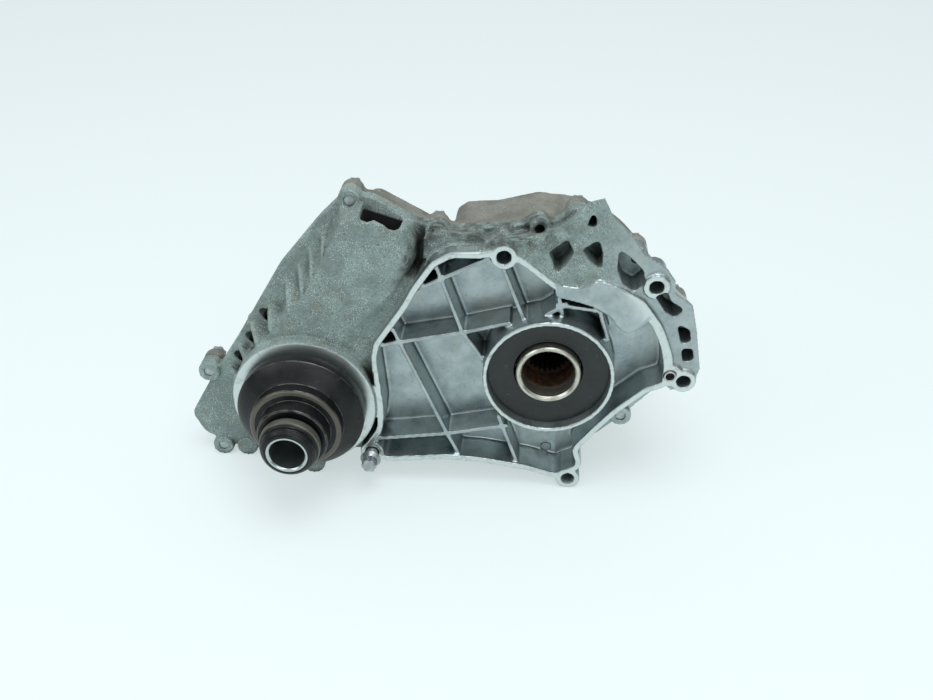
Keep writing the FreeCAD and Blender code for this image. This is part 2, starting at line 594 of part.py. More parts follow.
def rear_housing():
    tail_front = S.drum_back + S.end_cone
    solids = [
        prism(inset(FLANGE, 2), S.parting_face, S.flange_back),
        prism(REAR_BODY, S.flange_back - 1, S.gear_case_back),
        pole(S.drum_radius, S.flange_back, S.drum_back),
        cone(S.drum_radius, S.drum_radius - 22, S.drum_back, tail_front),
        pole(S.tail_radius, tail_front - 2, S.tail_back),
        pole(S.tail_bearing_outer + S.tail_bearing_wall, S.flange_back, S.tail_cap, FRONT),
        pole(S.idler_axle_radius + S.idler_socket_wall, S.flange_back,
             S.gear_case_back + S.case_wall, IDLER),
    ]
    for x, z in CASE_BOLTS:
        solids.append(pole(S.case_boss, S.parting_face, S.flange_back, axis_at(x, z)))
    foot_z = float(S.floor_z + S.foot_radius)
    for x in REAR_FEET:
        solids.append(pole(S.foot_radius, S.flange_back, S.drum_back - 4, axis_at(x, foot_z)))
        solids.append(Part.makeBox(12, float(S.drum_back - S.flange_back) - 4, 40,
                                   vec(x - 6, S.flange_back, foot_z)))
    solids.append(prism(CHAMBER, S.flange_back - 1, S.chamber_back))
    for x, z in PLUGS.values():
        solids.append(pole(S.plug_boss, S.gear_case_back - S.case_wall,
                           S.gear_case_back + 3, axis_at(x, z)))
    stem = Part.makeCylinder(float(S.breather_radius) + 3, float(S.drum_radius) + 2,
                             vec(BREATHER_X, S.breather_station, 0), FreeCAD.Vector(0, 0, 1))
    solids.append(stem)
    for turn in range(30, 360, 60):
        plate = Part.makeBox(float(S.drum_radius) - 24, float(S.tail_back) - 8
                             - float(tail_front), 6)
        plate.translate(vec(0, tail_front, -3))
        wedge = cone(S.drum_radius - 22, S.tail_radius + 2, tail_front, S.tail_back - 8)
        plate.rotate(FreeCAD.Vector(), ALONG, turn)
        solids.append(plate.common(wedge))
    casting = fuse_all(solids)
    hollow = prism(inset(REAR_BODY, S.rear_wall), S.parting_face - 1,
                   S.gear_case_back - S.case_wall)
    hollow = hollow.cut(pole(S.tail_bearing_outer + S.tail_bearing_wall - 2,
                             S.gear_front + S.gear_width + 3, S.tail_cap, FRONT))
    hollow = hollow.cut(pole(S.idler_axle_radius + S.idler_socket_wall,
                             gear_back + S.thrust_washer + 0.2, S.tail_cap, IDLER))
    for x, z in CASE_BOLTS:
        hollow = hollow.cut(pole(S.case_bolt_flange + 3, S.parting_face - 1, S.tail_cap,
                                 axis_at(x, z)))
    casting = casting.cut(hollow)
    casting = casting.cut(pole(S.drum_radius - S.drum_wall, S.parting_face - 1,
                               S.drum_back + 1))
    for x, z in CASE_BOLTS:
        casting = casting.cut(pole(S.case_bolt_flange + 0.8, S.flange_back, S.drum_back + 9,
                                   axis_at(x, z)))
    bores = [
        pole(S.rear_bearing_outer, S.drum_back, S.rear_bearing_front + S.rear_bearing_width),
        pole(S.rear_seal_radius, S.rear_bearing_front, S.tail_back + 1),
        pole(S.tail_bearing_outer, S.gear_front, S.tail_bearing_front
             + S.tail_bearing_width + 5, FRONT),
        pole(S.idler_axle_radius, S.gear_front, S.gear_case_back + 2, IDLER),
        Part.makeCylinder(float(S.breather_radius), float(S.drum_radius) + 4,
                          vec(BREATHER_X, S.breather_station, S.drum_radius - S.drum_wall),
                          FreeCAD.Vector(0, 0, 1)),
        prism(inset(CHAMBER, S.rear_wall), S.flange_back + 2, S.chamber_back - S.rear_wall),
    ]
    for x, z in PLUGS.values():
        bores.append(pole(S.plug_thread, S.gear_front, S.gear_case_back + 4,
                          axis_at(x, z)))
    for x, z in CASE_BOLTS:
        bores.append(pole(S.case_bolt + S.case_bolt_play, S.parting_face - 1,
                          S.flange_back + 1, axis_at(x, z)))
    for bore in bores:
        casting = casting.cut(bore)
    return casting.removeSplitter()


# ---------------------------------------------------------------- seals, bearings and rollers

def bearing(prefix, bore, outer, front, width, axis, balls=9):
    """A ball bearing: outer ring, inner ring, and a cage with its balls."""
    middle = (bore + outer) / 2
    ball = (outer - bore) * 0.28
    land = (outer - bore) * 0.30
    back = front + width
    station = front + width / 2
    for part_name, low, high in (("outer_ring", outer - land, outer),
                                 ("inner_ring", bore, bore + land)):
        label = f"{prefix}_{part_name}"
        blank = cut(label + "_blank", rod(label + "_outside", high, front, back, axis),
                    rod(label + "_inside", low, front - 1, back + 1, axis))
        track = torus(label + "_track", middle, ball + S.running_fit, station, axis)
        keep(cut(label, blank, track), label)
    cage = pole(middle + ball * 0.35, station - ball * 1.3, station + ball * 1.3, axis)
    cage = cage.cut(pole(middle - ball * 0.35, front, back, axis))
    spheres = []
    for i in range(balls):
        turn = 2 * math.pi * i / balls
        centre = vec(axis[0] + middle * math.cos(turn), station,
                     axis[1] + middle * math.sin(turn))
        outward = vec(math.cos(turn), 0, math.sin(turn))
        cage = cage.cut(Part.makeCylinder(float(ball) + 0.15, float(outer), centre, outward))
        spheres.append(Part.makeSphere(float(ball), centre))
    feature(f"{prefix}_balls", Part.makeCompound(spheres + cage.Solids))


def rollers(label, inner, front, width, count, axis):
    """Needle rollers that stand round a shaft."""
    middle = float(inner + S.roller_radius + S.roller_play)
    needles = []
    for i in range(count):
        turn = 2 * math.pi * i / count
        spot = (axis[0] + middle * math.cos(turn), axis[1] + middle * math.sin(turn))
        needles.append(pole(S.roller_radius, front, front + width, spot))
    feature(label, Part.makeCompound(needles))


def lip_seal(label, inner, outer, front, width, axis=MAIN):
    """A shaft seal: a flat outer ring, a dished face and a lip with its spring groove."""
    back = front + width
    rest = inner + S.soft_gap
    turned(label, [
        (outer, front), (outer, back), (outer - 4, back), (outer - 4, front + 3),
        (rest + 6, front + 5), (rest + 5, back), (rest + 1.5, back - 1), (rest, front + 6),
        (rest + 1.5, front + 2), (rest + 5, front + 3), (outer - 7, front + 1),
    ], axis)


# ---------------------------------------------------------------- gears

def tooth_outline(module, teeth, phase, addendum, dedendum, backlash):
    """Corners of a gear with straight flanks drawn between points of the true involute."""
    pitch = module * teeth / 2
    base = pitch * math.cos(math.radians(20))
    flat = math.tan(math.radians(20)) - math.radians(20)
    corners = []
    for tooth in range(int(teeth)):
        middle = phase + 2 * math.pi * tooth / teeth
        sides = []
        for radius in (pitch - dedendum * module, pitch + addendum * module):
            touch = max(radius, base)
            angle = math.acos(base / touch)
            half = (math.pi / 2 / teeth - backlash / 2 / pitch / 2
                    + flat - (math.tan(angle) - angle))
            sides.append((radius, half))
        (root, root_half), (tip, tip_half) = sides
        corners += [(root, middle - root_half), (tip, middle - tip_half),
                    (tip, middle + tip_half), (root, middle + root_half)]
    return corners


def toothed(module, teeth, phase, front, back, axis, addendum=0.9, dedendum=1.2,
            backlash=None):
    play = float(S.gear_backlash) if backlash is None else backlash
    corners = tooth_outline(float(module), float(teeth), phase, addendum, dedendum, play)
    points = [vec(axis[0] + r * math.cos(a), front, axis[1] + r * math.sin(a))
              for r, a in corners]
    face = Part.Face(Part.makePolygon(points + points[:1]))
    return face.extrude(ALONG * (float(back) - float(front)))


def heading(start, finish):
    return math.atan2(float(finish[1]) - float(start[1]), float(finish[0]) - float(start[0]))


def mesh_phase(teeth_a, phase_a, axis_a, teeth_b, axis_b):
    """The phase that puts gear b in mesh with gear a."""
    line = heading(axis_a, axis_b)
    pitch_a = 2 * math.pi / teeth_a
    offset = (line - phase_a) / pitch_a
    offset -= math.floor(offset)
    return line + math.pi + (offset + 0.5) * 2 * math.pi / teeth_b


drive_phase = heading(MAIN, IDLER)
idler_phase = mesh_phase(float(S.drive_teeth), drive_phase, MAIN, float(S.idler_teeth), IDLER)
output_phase = mesh_phase(float(S.idler_teeth), idler_phase, IDLER, float(S.drive_teeth), FRONT)
gear_back = S.gear_front + S.gear_width


def gear_blank(teeth, phase, hub_radius, axis):
    """A toothed rim on a thinner web, with the hub standing to the full width."""
    blank = toothed(S.gear_module, teeth, phase, S.gear_front, gear_back, axis)
    pitch = S.gear_module * teeth / 2
    rim_inside = pitch - S.gear_module * 1.2 - S.gear_rim
    for front, back in ((S.gear_front - 1, S.gear_front + S.web_recess),
                        (gear_back - S.web_recess, gear_back + 1)):
        recess = pole(rim_inside, front, back, axis).cut(pole(hub_radius, front, back, axis))
        blank = blank.cut(recess)
    return blank


# the hollow drive gear runs on needles round the input shaft and carries the sun gear
drive_bore = S.neck_radius + S.roller_radius * 2 + S.roller_play * 2
drive_hub_front = S.input_seal_front + S.input_seal_width + S.shoulder \
    + S.input_bearing_width + S.soft_gap
planet_back = S.planet_front + S.planet_width
carrier_plate_front = planet_back + S.planet_play
sun_root = S.planet_module * S.sun_teeth / 2 - S.planet_module * 1.25


def drive_gear():
    gear = gear_blank(S.drive_teeth, drive_phase, drive_bore + S.hub_wall, MAIN)
    gear = gear.fuse(pole(sun_root, drive_hub_front, planet_back))
    sun = toothed(S.planet_module, S.sun_teeth, 0.0, S.planet_front, planet_back, MAIN)
    gear = gear.fuse(sun)
    return gear.cut(pole(drive_bore, drive_hub_front - 1, planet_back + 1)).removeSplitter()


def planet_spots():
    middle = float(S.planet_module * (S.sun_teeth + S.planet_teeth) / 2)
    count = int(float(S.planet_count))
    for i in range(count):
        turn = 2 * math.pi * i / count
        yield turn, (Dim(middle * math.cos(turn), ""), Dim(middle * math.sin(turn), ""))


def planet_gears():
    gears = []
    for _, spot in planet_spots():
        phase = mesh_phase(float(S.sun_teeth), 0.0, MAIN, float(S.planet_teeth), spot)
        gear = toothed(S.planet_module, S.planet_teeth, phase, S.planet_front, planet_back,
                       spot)
        bore = S.planet_pin + S.running_fit
        gears.append(gear.cut(pole(bore, S.planet_front - 1, planet_back + 1, spot)))
    return Part.makeCompound(gears)


def ring_gear_drum():
    """The internal ring gear, whose skirt behind it is the clutch drum."""
    turn, spot = next(planet_spots())
    phase = mesh_phase(float(S.sun_teeth), 0.0, MAIN, float(S.planet_teeth), spot)
    pitch_step = 2 * math.pi / float(S.planet_teeth)
    outward = (turn - phase) / pitch_step
    outward -= math.floor(outward)
    ring_phase = turn - (outward - 0.5) * 2 * math.pi / float(S.ring_teeth)
    front = S.planet_front - 1
    drum = pole(S.ring_drum_radius, front, S.drum_end + S.drum_plate)
    teeth = toothed(S.planet_module, S.ring_teeth, ring_phase + math.pi
                    / float(S.ring_teeth), front - 1, planet_back + 2, MAIN,
                    addendum=1.2, dedendum=0.9, backlash=-0.4)
    drum = drum.cut(teeth)
    drum = drum.cut(pole(S.clutch_drum_bore, planet_back + 1, S.drum_end))
    return drum.cut(pole(S.rear_shaft_pilot, front, S.drum_end + S.drum_plate + 1))


# ---------------------------------------------------------------- the rotating pieces

def input_shaft():
    smooth_end = S.sleeve_front + S.sleeve_smooth
    bearing_front = S.input_seal_front + S.input_seal_width + S.shoulder
    bearing_back = bearing_front + S.input_bearing_width
    spline_end = smooth_end + S.spline_length
    body = turned_body("input_shaft_blank", [
        (S.sleeve_bore, S.sleeve_front + 1.5), (S.sleeve_bore + 1.5, S.sleeve_front),
        (S.sleeve_radius - 1, S.sleeve_front), (S.sleeve_radius, S.sleeve_front + 1),
        (S.sleeve_radius, bearing_front - 0.2), (S.seat_radius, bearing_front - 0.2),
        (S.seat_radius, bearing_back), (S.neck_radius, bearing_back),
        (S.neck_radius, S.input_end), (Dim(0, "0"), S.input_end),
        (Dim(0, "0"), S.input_end - 8), (S.neck_bore, S.input_end - 8),
        (S.neck_bore, smooth_end), (S.sleeve_bore, smooth_end),
    ])
    doc.recompute()
    shape = body.Shape.copy()
    count = int(float(S.spline_count))
    slot = Part.makeBox(float(S.spline_depth) + 0.4, float(S.spline_length), 2.0)
    slot.translate(vec(S.neck_bore - 0.4, smooth_end - 1, -1.0))
    slots = []
    for i in range(count):
        copy = slot.copy()
        copy.rotate(FreeCAD.Vector(), ALONG, 360.0 * i / count)
        slots.append(copy)
    return shape.cut(Part.makeCompound(slots))


def carrier_plate(front, bore):
    plate = pole(S.carrier_radius, front, front + S.carrier_plate)
    plate = plate.cut(pole(bore, front - 1, front + S.carrier_plate + 1))
    for turn, spot in planet_spots():
        plate = plate.cut(pole(S.planet_pin, front - 1, front + S.carrier_plate + 1, spot))
    return plate


carrier_front = S.planet_front - S.planet_play - S.carrier_plate
carrier_back = carrier_plate_front


def planet_pins():
    pins = [pole(S.planet_pin, carrier_front, carrier_back + S.carrier_plate, spot)
            for _, spot in planet_spots()]
    return Part.makeCompound(pins)


def clutch_plates(kind):
    """Every second plate is splined to the hub, the others to the drum."""
    step = S.friction_thickness + S.steel_thickness + S.plate_gap * 2
    plates = []
    for i in range(int(float(S.plate_pairs))):
        front = S.clutch_front + step * i
        if kind == "friction":
            inner = S.clutch_hub_radius + S.plate_clear / 4
            outer = S.clutch_drum_bore - 3
            back = front + S.friction_thickness
        else:
            inner = S.clutch_hub_radius + 3
            outer = S.clutch_drum_bore - S.plate_clear / 4
            front = front + S.friction_thickness + S.plate_gap
            back = front + S.steel_thickness
        plates.append(pole(outer, front, back).cut(pole(inner, front - 1, back + 1)))
    return Part.makeCompound(plates)


clutch_back = S.clutch_front + (S.friction_thickness + S.steel_thickness
                                + S.plate_gap * 2) * S.plate_pairs


def rear_flange():
    """A three-armed flange with a bolt hole in each arm, on a splined hub."""
    back = S.rear_flange_front + S.rear_flange_thickness
    hub_front = S.rear_bearing_front + S.rear_bearing_width
    plate = pole(S.rear_hub_radius + 7, S.rear_flange_front, back)
    for turn in (90, 210, 330):
        angle = math.radians(turn)
        spot = (S.rear_bolt_circle * math.cos(angle), S.rear_bolt_circle * math.sin(angle))
        ear = pole(S.rear_flange_radius - S.rear_bolt_circle, S.rear_flange_front, back, spot)
        width = float(S.rear_flange_radius - S.rear_bolt_circle) * 2
        arm = Part.makeBox(float(S.rear_bolt_circle), float(S.rear_flange_thickness), width)
        arm.translate(vec(0, S.rear_flange_front, -width / 2))
        arm.rotate(FreeCAD.Vector(), ALONG, -turn)
        plate = plate.fuse([ear, arm])
    for turn in (90, 210, 330):
        angle = math.radians(turn)
        spot = (S.rear_bolt_circle * math.cos(angle), S.rear_bolt_circle * math.sin(angle))
        plate = plate.cut(pole(S.rear_bolt_hole, S.rear_flange_front - 1, back + 1, spot))
    flange = plate.fuse(pole(S.rear_hub_radius, hub_front, back))
    flange = flange.cut(pole(S.rear_hub_radius - 4, back - 3, back + 1))
    return flange.cut(pole(S.rear_spline, hub_front - 1, back + 1)).removeSplitter()


def hex_nut(flats, bore, front, height, axis=MAIN):
    radius = float(flats) / math.sqrt(3)
    corners = [(float(axis[0]) + radius * math.cos(math.radians(60 * i)),
                float(axis[1]) + radius * math.sin(math.radians(60 * i)), 0)
               for i in range(6)]
    nut = prism(corners, front, front + height)
    crown = cone(float(flats) / 2 * 0.98 + float(height), float(flats) / 2 * 0.98,
                 front, front + height, axis)
    return nut.common(crown).cut(pole(bore, front - 1, front + height + 1, axis))


def case_bolts():
    """Flanged hexagon bolts that clamp the rear housing to the front one."""
    bolts = []
    for x, z in CASE_BOLTS:
        spot = axis_at(x, z)
        head_back = S.flange_back + 7.5
        bolt = pole(S.case_bolt_flange, S.flange_back, S.flange_back + 1.6, spot)
        head = hex_nut(S.case_bolt_head * 2, 0.01, S.flange_back + 1.5, 6, spot)
        shank = pole(S.case_bolt - 0.02, S.flange_back + 7 - S.case_bolt_length,
                     S.flange_back + 1, spot)
        bolt = bolt.fuse([pole(S.case_bolt_head - 1, S.flange_back, head_back, spot), shank])
        bolts.append(bolt.fuse(head).removeSplitter())
    return Part.makeCompound(bolts)


def gearbox_bolt():
    """The captive star-head bolt that stands loose in the corner hole."""
    spot = axis_at(*BELL_BOLTS["corner"])
    shank = pole(S.mount_hole - 0.35, -9, 26, spot)
    washer = pole(8.6, -11, -9, spot)
    collar = cone(6.4, 8.0, -13, -11, spot)
    points = []
    for i in range(12):
        radius = 6.3 if i % 2 == 0 else 5.3
        angle = math.radians(30 * i)
        points.append((spot[0] + radius * math.cos(angle),
                       spot[1] + radius * math.sin(angle), 0.6))
    points = [(float(x), float(z), r) for x, z, r in points]
    head = prism(points, -19, -12)
    return shank.fuse([washer, collar, head]).removeSplitter()


def build_everything():
    input_bearing = S.input_seal_front + S.input_seal_width + S.shoulder
    feature("front_housing", front_housing())
    feature("rear_housing", rear_housing())
    feature("housing_bolts", case_bolts())
    feature("gearbox_bolt", gearbox_bolt())
    ring("gearbox_dowel", S.dowel_bore, S.dowel_radius, S.mating_face - 1.5,
         S.dowel_length, axis_at(*DOWEL))
    lip_seal("input_seal", S.sleeve_radius, S.input_seal_radius, S.input_seal_front,
             S.input_seal_width)
    lip_seal("front_output_seal", S.seal_land, S.front_seal_radius, S.front_seal_front,
             S.front_seal_width, FRONT)
    lip_seal("rear_output_seal", S.rear_hub_radius, S.rear_seal_radius, S.rear_seal_front,
             S.rear_seal_width)
    bearing("input_bearing", S.seat_radius, S.input_bearing_outer, input_bearing,
            S.input_bearing_width, MAIN)
    bearing("rear_bearing", S.rear_bearing_bore, S.rear_bearing_outer, S.rear_bearing_front,
            S.rear_bearing_width, MAIN)
    bearing("front_output_bearing", S.seat_radius, S.front_bearing_outer,
            S.front_bearing_front, S.front_bearing_width, FRONT)
    bearing("front_tail_bearing", S.tail_bearing_bore, S.tail_bearing_outer,
            S.tail_bearing_front, S.tail_bearing_width, FRONT, 8)
    turned("idler_axle", [
        (Dim(0, "0"), S.bell_floor_front + 3), (S.idler_axle_radius, S.bell_floor_front + 3),
        (S.idler_axle_radius, S.gear_case_back + 2), (Dim(0, "0"), S.gear_case_back + 2),
    ], IDLER)
    rollers("idler_rollers", S.idler_axle_radius, S.gear_front + 2, S.gear_width - 4, 30,
            IDLER)
    rollers("drive_gear_rollers", S.neck_radius, S.gear_front + 1, S.gear_width - 2, 42, MAIN)
    feature("input_shaft", input_shaft())
    feature("carrier_front_plate", carrier_plate(carrier_front, sun_root + 1))
    feature("carrier_back_plate", carrier_plate(carrier_back, S.neck_radius))
    feature("planet_pins", planet_pins())
    feature("planet_gears", planet_gears())
    hub_back = carrier_back + S.carrier_plate
    turned("clutch_hub", [
        (S.neck_radius, hub_back), (S.clutch_hub_radius, hub_back),
        (S.clutch_hub_radius, clutch_back),
        (S.clutch_hub_radius - S.clutch_hub_wall, clutch_back),
        (S.clutch_hub_radius - S.clutch_hub_wall, hub_back + S.clutch_hub_wall),
        (S.neck_radius, hub_back + S.clutch_hub_wall),
    ])
    feature("friction_plates", clutch_plates("friction"))
    feature("steel_plates", clutch_plates("steel"))
    spring_front = clutch_back + S.plate_gap
    turned("disc_spring", [
        (S.clutch_hub_radius + 3, spring_front + S.disc_spring_height
         - S.disc_spring_thickness),
        (S.clutch_drum_bore - 0.5, spring_front),
        (S.clutch_drum_bore - 0.5, spring_front + S.disc_spring_thickness),
        (S.clutch_hub_radius + 3, spring_front + S.disc_spring_height),
    ])
    feature("drive_gear", drive_gear())
    feature("ring_gear_drum", ring_gear_drum())
    flange_back = S.rear_flange_front + S.rear_flange_thickness
    bearing_back = S.rear_bearing_front + S.rear_bearing_width
    turned("rear_output_shaft", [
        (Dim(0, "0"), S.input_end + 1), (S.rear_shaft_pilot - 4, S.input_end + 1),
        (S.rear_shaft_pilot - 4, S.drum_end), (S.rear_shaft_pilot, S.drum_end),
        (S.rear_shaft_pilot, S.rear_bearing_front), (S.rear_bearing_bore,
                                                     S.rear_bearing_front),
        (S.rear_bearing_bore, bearing_back), (S.rear_spline, bearing_back),
        (S.rear_spline, flange_back - 5), (S.rear_thread, flange_back - 5),
        (S.rear_thread, S.rear_shaft_end), (Dim(0, "0"), S.rear_shaft_end),
    ])
    feature("rear_output_flange", rear_flange())
    feature("rear_flange_nut", hex_nut(S.rear_nut_flats, S.rear_thread, flange_back - 3,
                                       S.rear_nut_height))
    idler = gear_blank(S.idler_teeth, idler_phase,
                       S.idler_axle_radius + S.roller_radius * 2 + S.hub_wall, IDLER)
    idler_bore = S.idler_axle_radius + S.roller_radius * 2 + S.roller_play * 2
    idler = idler.cut(pole(idler_bore, S.gear_front - 1, gear_back + 1, IDLER))
    feature("idler_gear", idler)
    output = gear_blank(S.drive_teeth, output_phase, S.seal_land + S.hub_wall, FRONT)
    output = output.cut(pole(S.seat_radius - 1, S.gear_front - 1, gear_back + 1, FRONT))
    feature("output_gear", output)
    front_output_pieces()
    fittings()


def front_output_pieces():
    bearing_back = S.front_bearing_front + S.front_bearing_width
    grooves = []
    for i in range(3):
        station = S.collar_front - 1.6 - S.groove_pitch * i
        grooves += [
            (S.groove_radius, station), (S.groove_radius - 0.4 * i, station
                                         - S.groove_pitch * 0.45),
            (S.groove_radius - S.groove_depth, station - S.groove_pitch * 0.55),
            (S.groove_radius - S.groove_depth, station - S.groove_pitch * 0.9),
        ]
    turned("front_output_shaft", [
        (Dim(0, "0"), S.stub_front + S.stub_bore_depth),
        (S.stub_bore, S.stub_front + S.stub_bore_depth), (S.stub_bore, S.stub_front + 1),
        (S.stub_bore + 1, S.stub_front), (S.stub_radius, S.stub_front),
    ] + grooves[::-1] + [
        (S.groove_radius + 0.6, S.collar_front - 1.0), (S.collar_radius, S.collar_front),
        (S.collar_radius, S.collar_back), (S.shield_seat, S.collar_back),
        (S.shield_seat, S.shield_back), (S.seal_land, S.shield_back),
        (S.seal_land, S.front_bearing_front - 1), (S.seat_radius, S.front_bearing_front - 1),
        (S.seat_radius, bearing_back + 1), (S.seat_radius - 1, bearing_back + 1),
        (S.seat_radius - 1, gear_back), (S.tail_bearing_bore, gear_back),
        (S.tail_bearing_bore, S.tail_bearing_front + S.tail_bearing_width + 3),
        (Dim(0, "0"), S.tail_bearing_front + S.tail_bearing_width + 3),
    ], FRONT)
    rim_front = S.shield_back - S.shield_rim
    dish = rim_front - S.shield_bevel
    turned("dust_shield", [
        (S.shield_seat, S.shield_back), (S.pot_radius, S.shield_back),
        (S.shield_radius - 2, S.shield_back + 2), (S.shield_radius, S.shield_back + 1),
        (S.shield_radius, rim_front), (S.shield_radius - S.shield_bevel, dish),
        (S.pot_radius, S.shield_back - S.dish_depth - S.shield_rim),
        (S.pot_radius, S.pot_front + 1.5), (S.pot_radius - 1.5, S.pot_front),
        (S.nose_radius, S.pot_front), (S.nose_radius, S.nose_front + 1),
        (S.nose_radius - 1, S.nose_front), (S.shield_seat, S.nose_front),
    ], FRONT)


def fittings():
    """Fill and drain plugs with their washers at the back, and the breather on top."""
    washers = []
    seat = S.gear_case_back + 3
    for label, (x, z) in PLUGS.items():
        spot = axis_at(x, z)
        washer = pole(S.plug_head, seat, seat + S.plug_washer, spot)
        washers.append(washer.cut(pole(S.plug_thread, seat - 1, seat + 3, spot)))
        head_front = seat + S.plug_washer
        turned(label, [
            (Dim(0, "0"), S.gear_case_back - S.case_wall),
            (S.plug_thread, S.gear_case_back - S.case_wall), (S.plug_thread, head_front),
            (S.plug_head - 0.5, head_front), (S.plug_head - 0.5, head_front + 3.5),
            (S.plug_head - 1.5, head_front + 4.5), (S.plug_socket, head_front + 4.5),
            (S.plug_socket, head_front - 3), (Dim(0, "0"), head_front - 4),
        ], spot)
    feature("plug_washers", Part.makeCompound(washers))
    rest = float(S.drum_radius - S.drum_wall) + 4
    tube = Part.makeCylinder(float(S.breather_radius), float(S.drum_wall)
                             + float(S.breather_height) - 4,
                             vec(BREATHER_X, S.breather_station, rest),
                             FreeCAD.Vector(0, 0, 1))
    hole = Part.makeCylinder(float(S.breather_bore), 60,
                             vec(BREATHER_X, S.breather_station, rest - 1),
                             FreeCAD.Vector(0, 0, 1))
    feature("breather_tube", tube.cut(hole))
    washers = []
    for front in (S.gear_front - S.thrust_washer - 0.1, gear_back + 0.1):
        washer = pole(S.idler_axle_radius + S.idler_socket_wall, front,
                      front + S.thrust_washer, IDLER)
        washers.append(washer.cut(pole(S.idler_axle_radius + 0.1, front - 1,
                                       front + S.thrust_washer + 1, IDLER)))
    feature("idler_thrust_washers", Part.makeCompound(washers))
    ring("tail_lock_ring", S.tail_bearing_bore, S.tail_bearing_bore + 4,
         S.tail_bearing_front + S.tail_bearing_width,
         S.tail_bearing_front + S.tail_bearing_width + S.lock_ring, FRONT)


build_everything()
doc.recompute()
for item in doc.Objects:
    if "Invalid" in item.State or "Error" in item.State:
        raise RuntimeError(f"{item.Label} failed: {item.State}")
os.makedirs("parts", exist_ok=True)
for item in nodes:
    if item.Shape.isNull() or not item.Shape.isValid():
        raise RuntimeError(f"{item.Label} has no valid shape")
for item in nodes:
    item.Shape.exportStep(os.path.join("parts", item.Label + ".step"))
print("pieces:", len(nodes), "solids:", sum(len(item.Shape.Solids) for item in nodes))
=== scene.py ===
"""Looks of a transfer case: its castings, shafts, seals and screws, on a pale floor in soft light.

Every length is in metres unless its name ends in _mm, and every place is in the frame of the CAD
model: +Y along the shafts away from the gearbox, +X to the right seen from the gearbox, +Z up.
"""
import json
import math

import bmesh
import bpy
from mathutils import Matrix, Vector

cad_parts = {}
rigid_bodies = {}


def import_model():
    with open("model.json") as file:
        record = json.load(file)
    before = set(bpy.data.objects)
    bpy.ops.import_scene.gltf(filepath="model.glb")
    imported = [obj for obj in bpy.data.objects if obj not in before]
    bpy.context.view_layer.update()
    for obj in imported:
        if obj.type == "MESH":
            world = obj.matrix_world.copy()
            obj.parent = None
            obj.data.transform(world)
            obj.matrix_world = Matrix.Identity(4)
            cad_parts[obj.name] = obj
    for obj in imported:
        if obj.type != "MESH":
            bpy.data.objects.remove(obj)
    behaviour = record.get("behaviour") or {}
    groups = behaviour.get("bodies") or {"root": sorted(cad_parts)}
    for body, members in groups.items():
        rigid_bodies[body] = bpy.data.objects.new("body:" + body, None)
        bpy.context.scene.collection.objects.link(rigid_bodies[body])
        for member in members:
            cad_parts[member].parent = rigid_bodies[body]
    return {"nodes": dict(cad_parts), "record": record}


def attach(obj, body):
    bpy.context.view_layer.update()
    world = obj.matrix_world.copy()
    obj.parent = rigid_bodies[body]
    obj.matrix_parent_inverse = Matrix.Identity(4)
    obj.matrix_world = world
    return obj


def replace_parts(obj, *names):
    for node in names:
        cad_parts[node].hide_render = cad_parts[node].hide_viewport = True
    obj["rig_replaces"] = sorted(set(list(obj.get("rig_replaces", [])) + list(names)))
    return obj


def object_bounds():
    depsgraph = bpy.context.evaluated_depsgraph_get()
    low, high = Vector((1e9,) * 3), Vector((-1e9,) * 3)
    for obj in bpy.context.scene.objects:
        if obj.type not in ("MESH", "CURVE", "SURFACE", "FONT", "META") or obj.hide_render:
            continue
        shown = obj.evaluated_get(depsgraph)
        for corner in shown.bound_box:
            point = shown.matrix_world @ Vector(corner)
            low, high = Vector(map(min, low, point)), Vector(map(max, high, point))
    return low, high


MM = 0.001
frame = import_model()
cad_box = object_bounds()
nodes = frame["nodes"]

# Vertices of a CAD node nearer than this are one.
JOIN_MM = 0.002

# The shafts' axes, as (x, z).
INPUT_AXIS = (0.0, 0.0)
FRONT_AXIS = (-0.194, -0.035)

# The front output's hollow stub: where it ends along Y, and the radii of its bore and bright ring.
STUB_END_MM = -69.0
STUB_BORE_MM = 13.5
STUB_RING_MM = 15.8
# The painted highlights on its collar and on the pot behind, bright bands where these faces catch
# the light: each beyond a radius, and from where to where along Y.
COLLAR_EDGE_MM = 21.3
COLLAR_HIGHLIGHT_MM = (-60.5, -52.5)
POT_EDGE_MM = 31.9
POT_HIGHLIGHT_MM = (-39.0, -35.5)

# How far into the input shaft's bore it dulls, rusts and is painted black as shade, along Y.
BORE_DULL_MM = (2, 9)
BORE_RUST_MM = (9, 15)
BORE_SHADE_MM = (22, 40)

# Where the bolt heads sit along Y.
COVER_HEAD_MM = 50.0
GEARBOX_HEAD_MM = -9.0

# The slot in the gear case's top, painted black inside as its shadow: its reach along X and Y, its
# lower edge along Z, and its upper edge, which slants.
SLOT_X_MM = (-144, -111)
SLOT_Y_MM = (8.5, 32)
SLOT_LOW_MM = 96
SLOT_HIGH_MM = 75
SLOT_SLANT = (0.33, 0, 1)

# The front casting: how deep its machined rim and its bell reach along Y, and a point (x, z) on
# the valley that leans up from the bell.
RIM_DEPTH_MM = 0.8
BELL_DEPTH_MM = 32
VALLEY_X_MM = -100
VALLEY_Z_MM = 100

# The bell's outer edge on the face that bolts to the gearbox, as in the CAD model, in mm.
BELL_MM = [
    (-151, -83), (-137, -60), (-135, -40), (-139, 8), (-136, 22), (-113, 57), (-104, 74),
    (-90, 95), (-76, 103), (-52, 104), (-36, 108), (-18, 97), (4, 79), (20, 77), (34, 84),
    (50, 78), (68, 68), (84, 46), (94, 20), (97, -6), (78, -14), (57, -34), (42, -53),
    (27, -74), (33, -92), (11, -105), (-14, -97), (-50, -91), (-80, -89), (-130, -94),
]
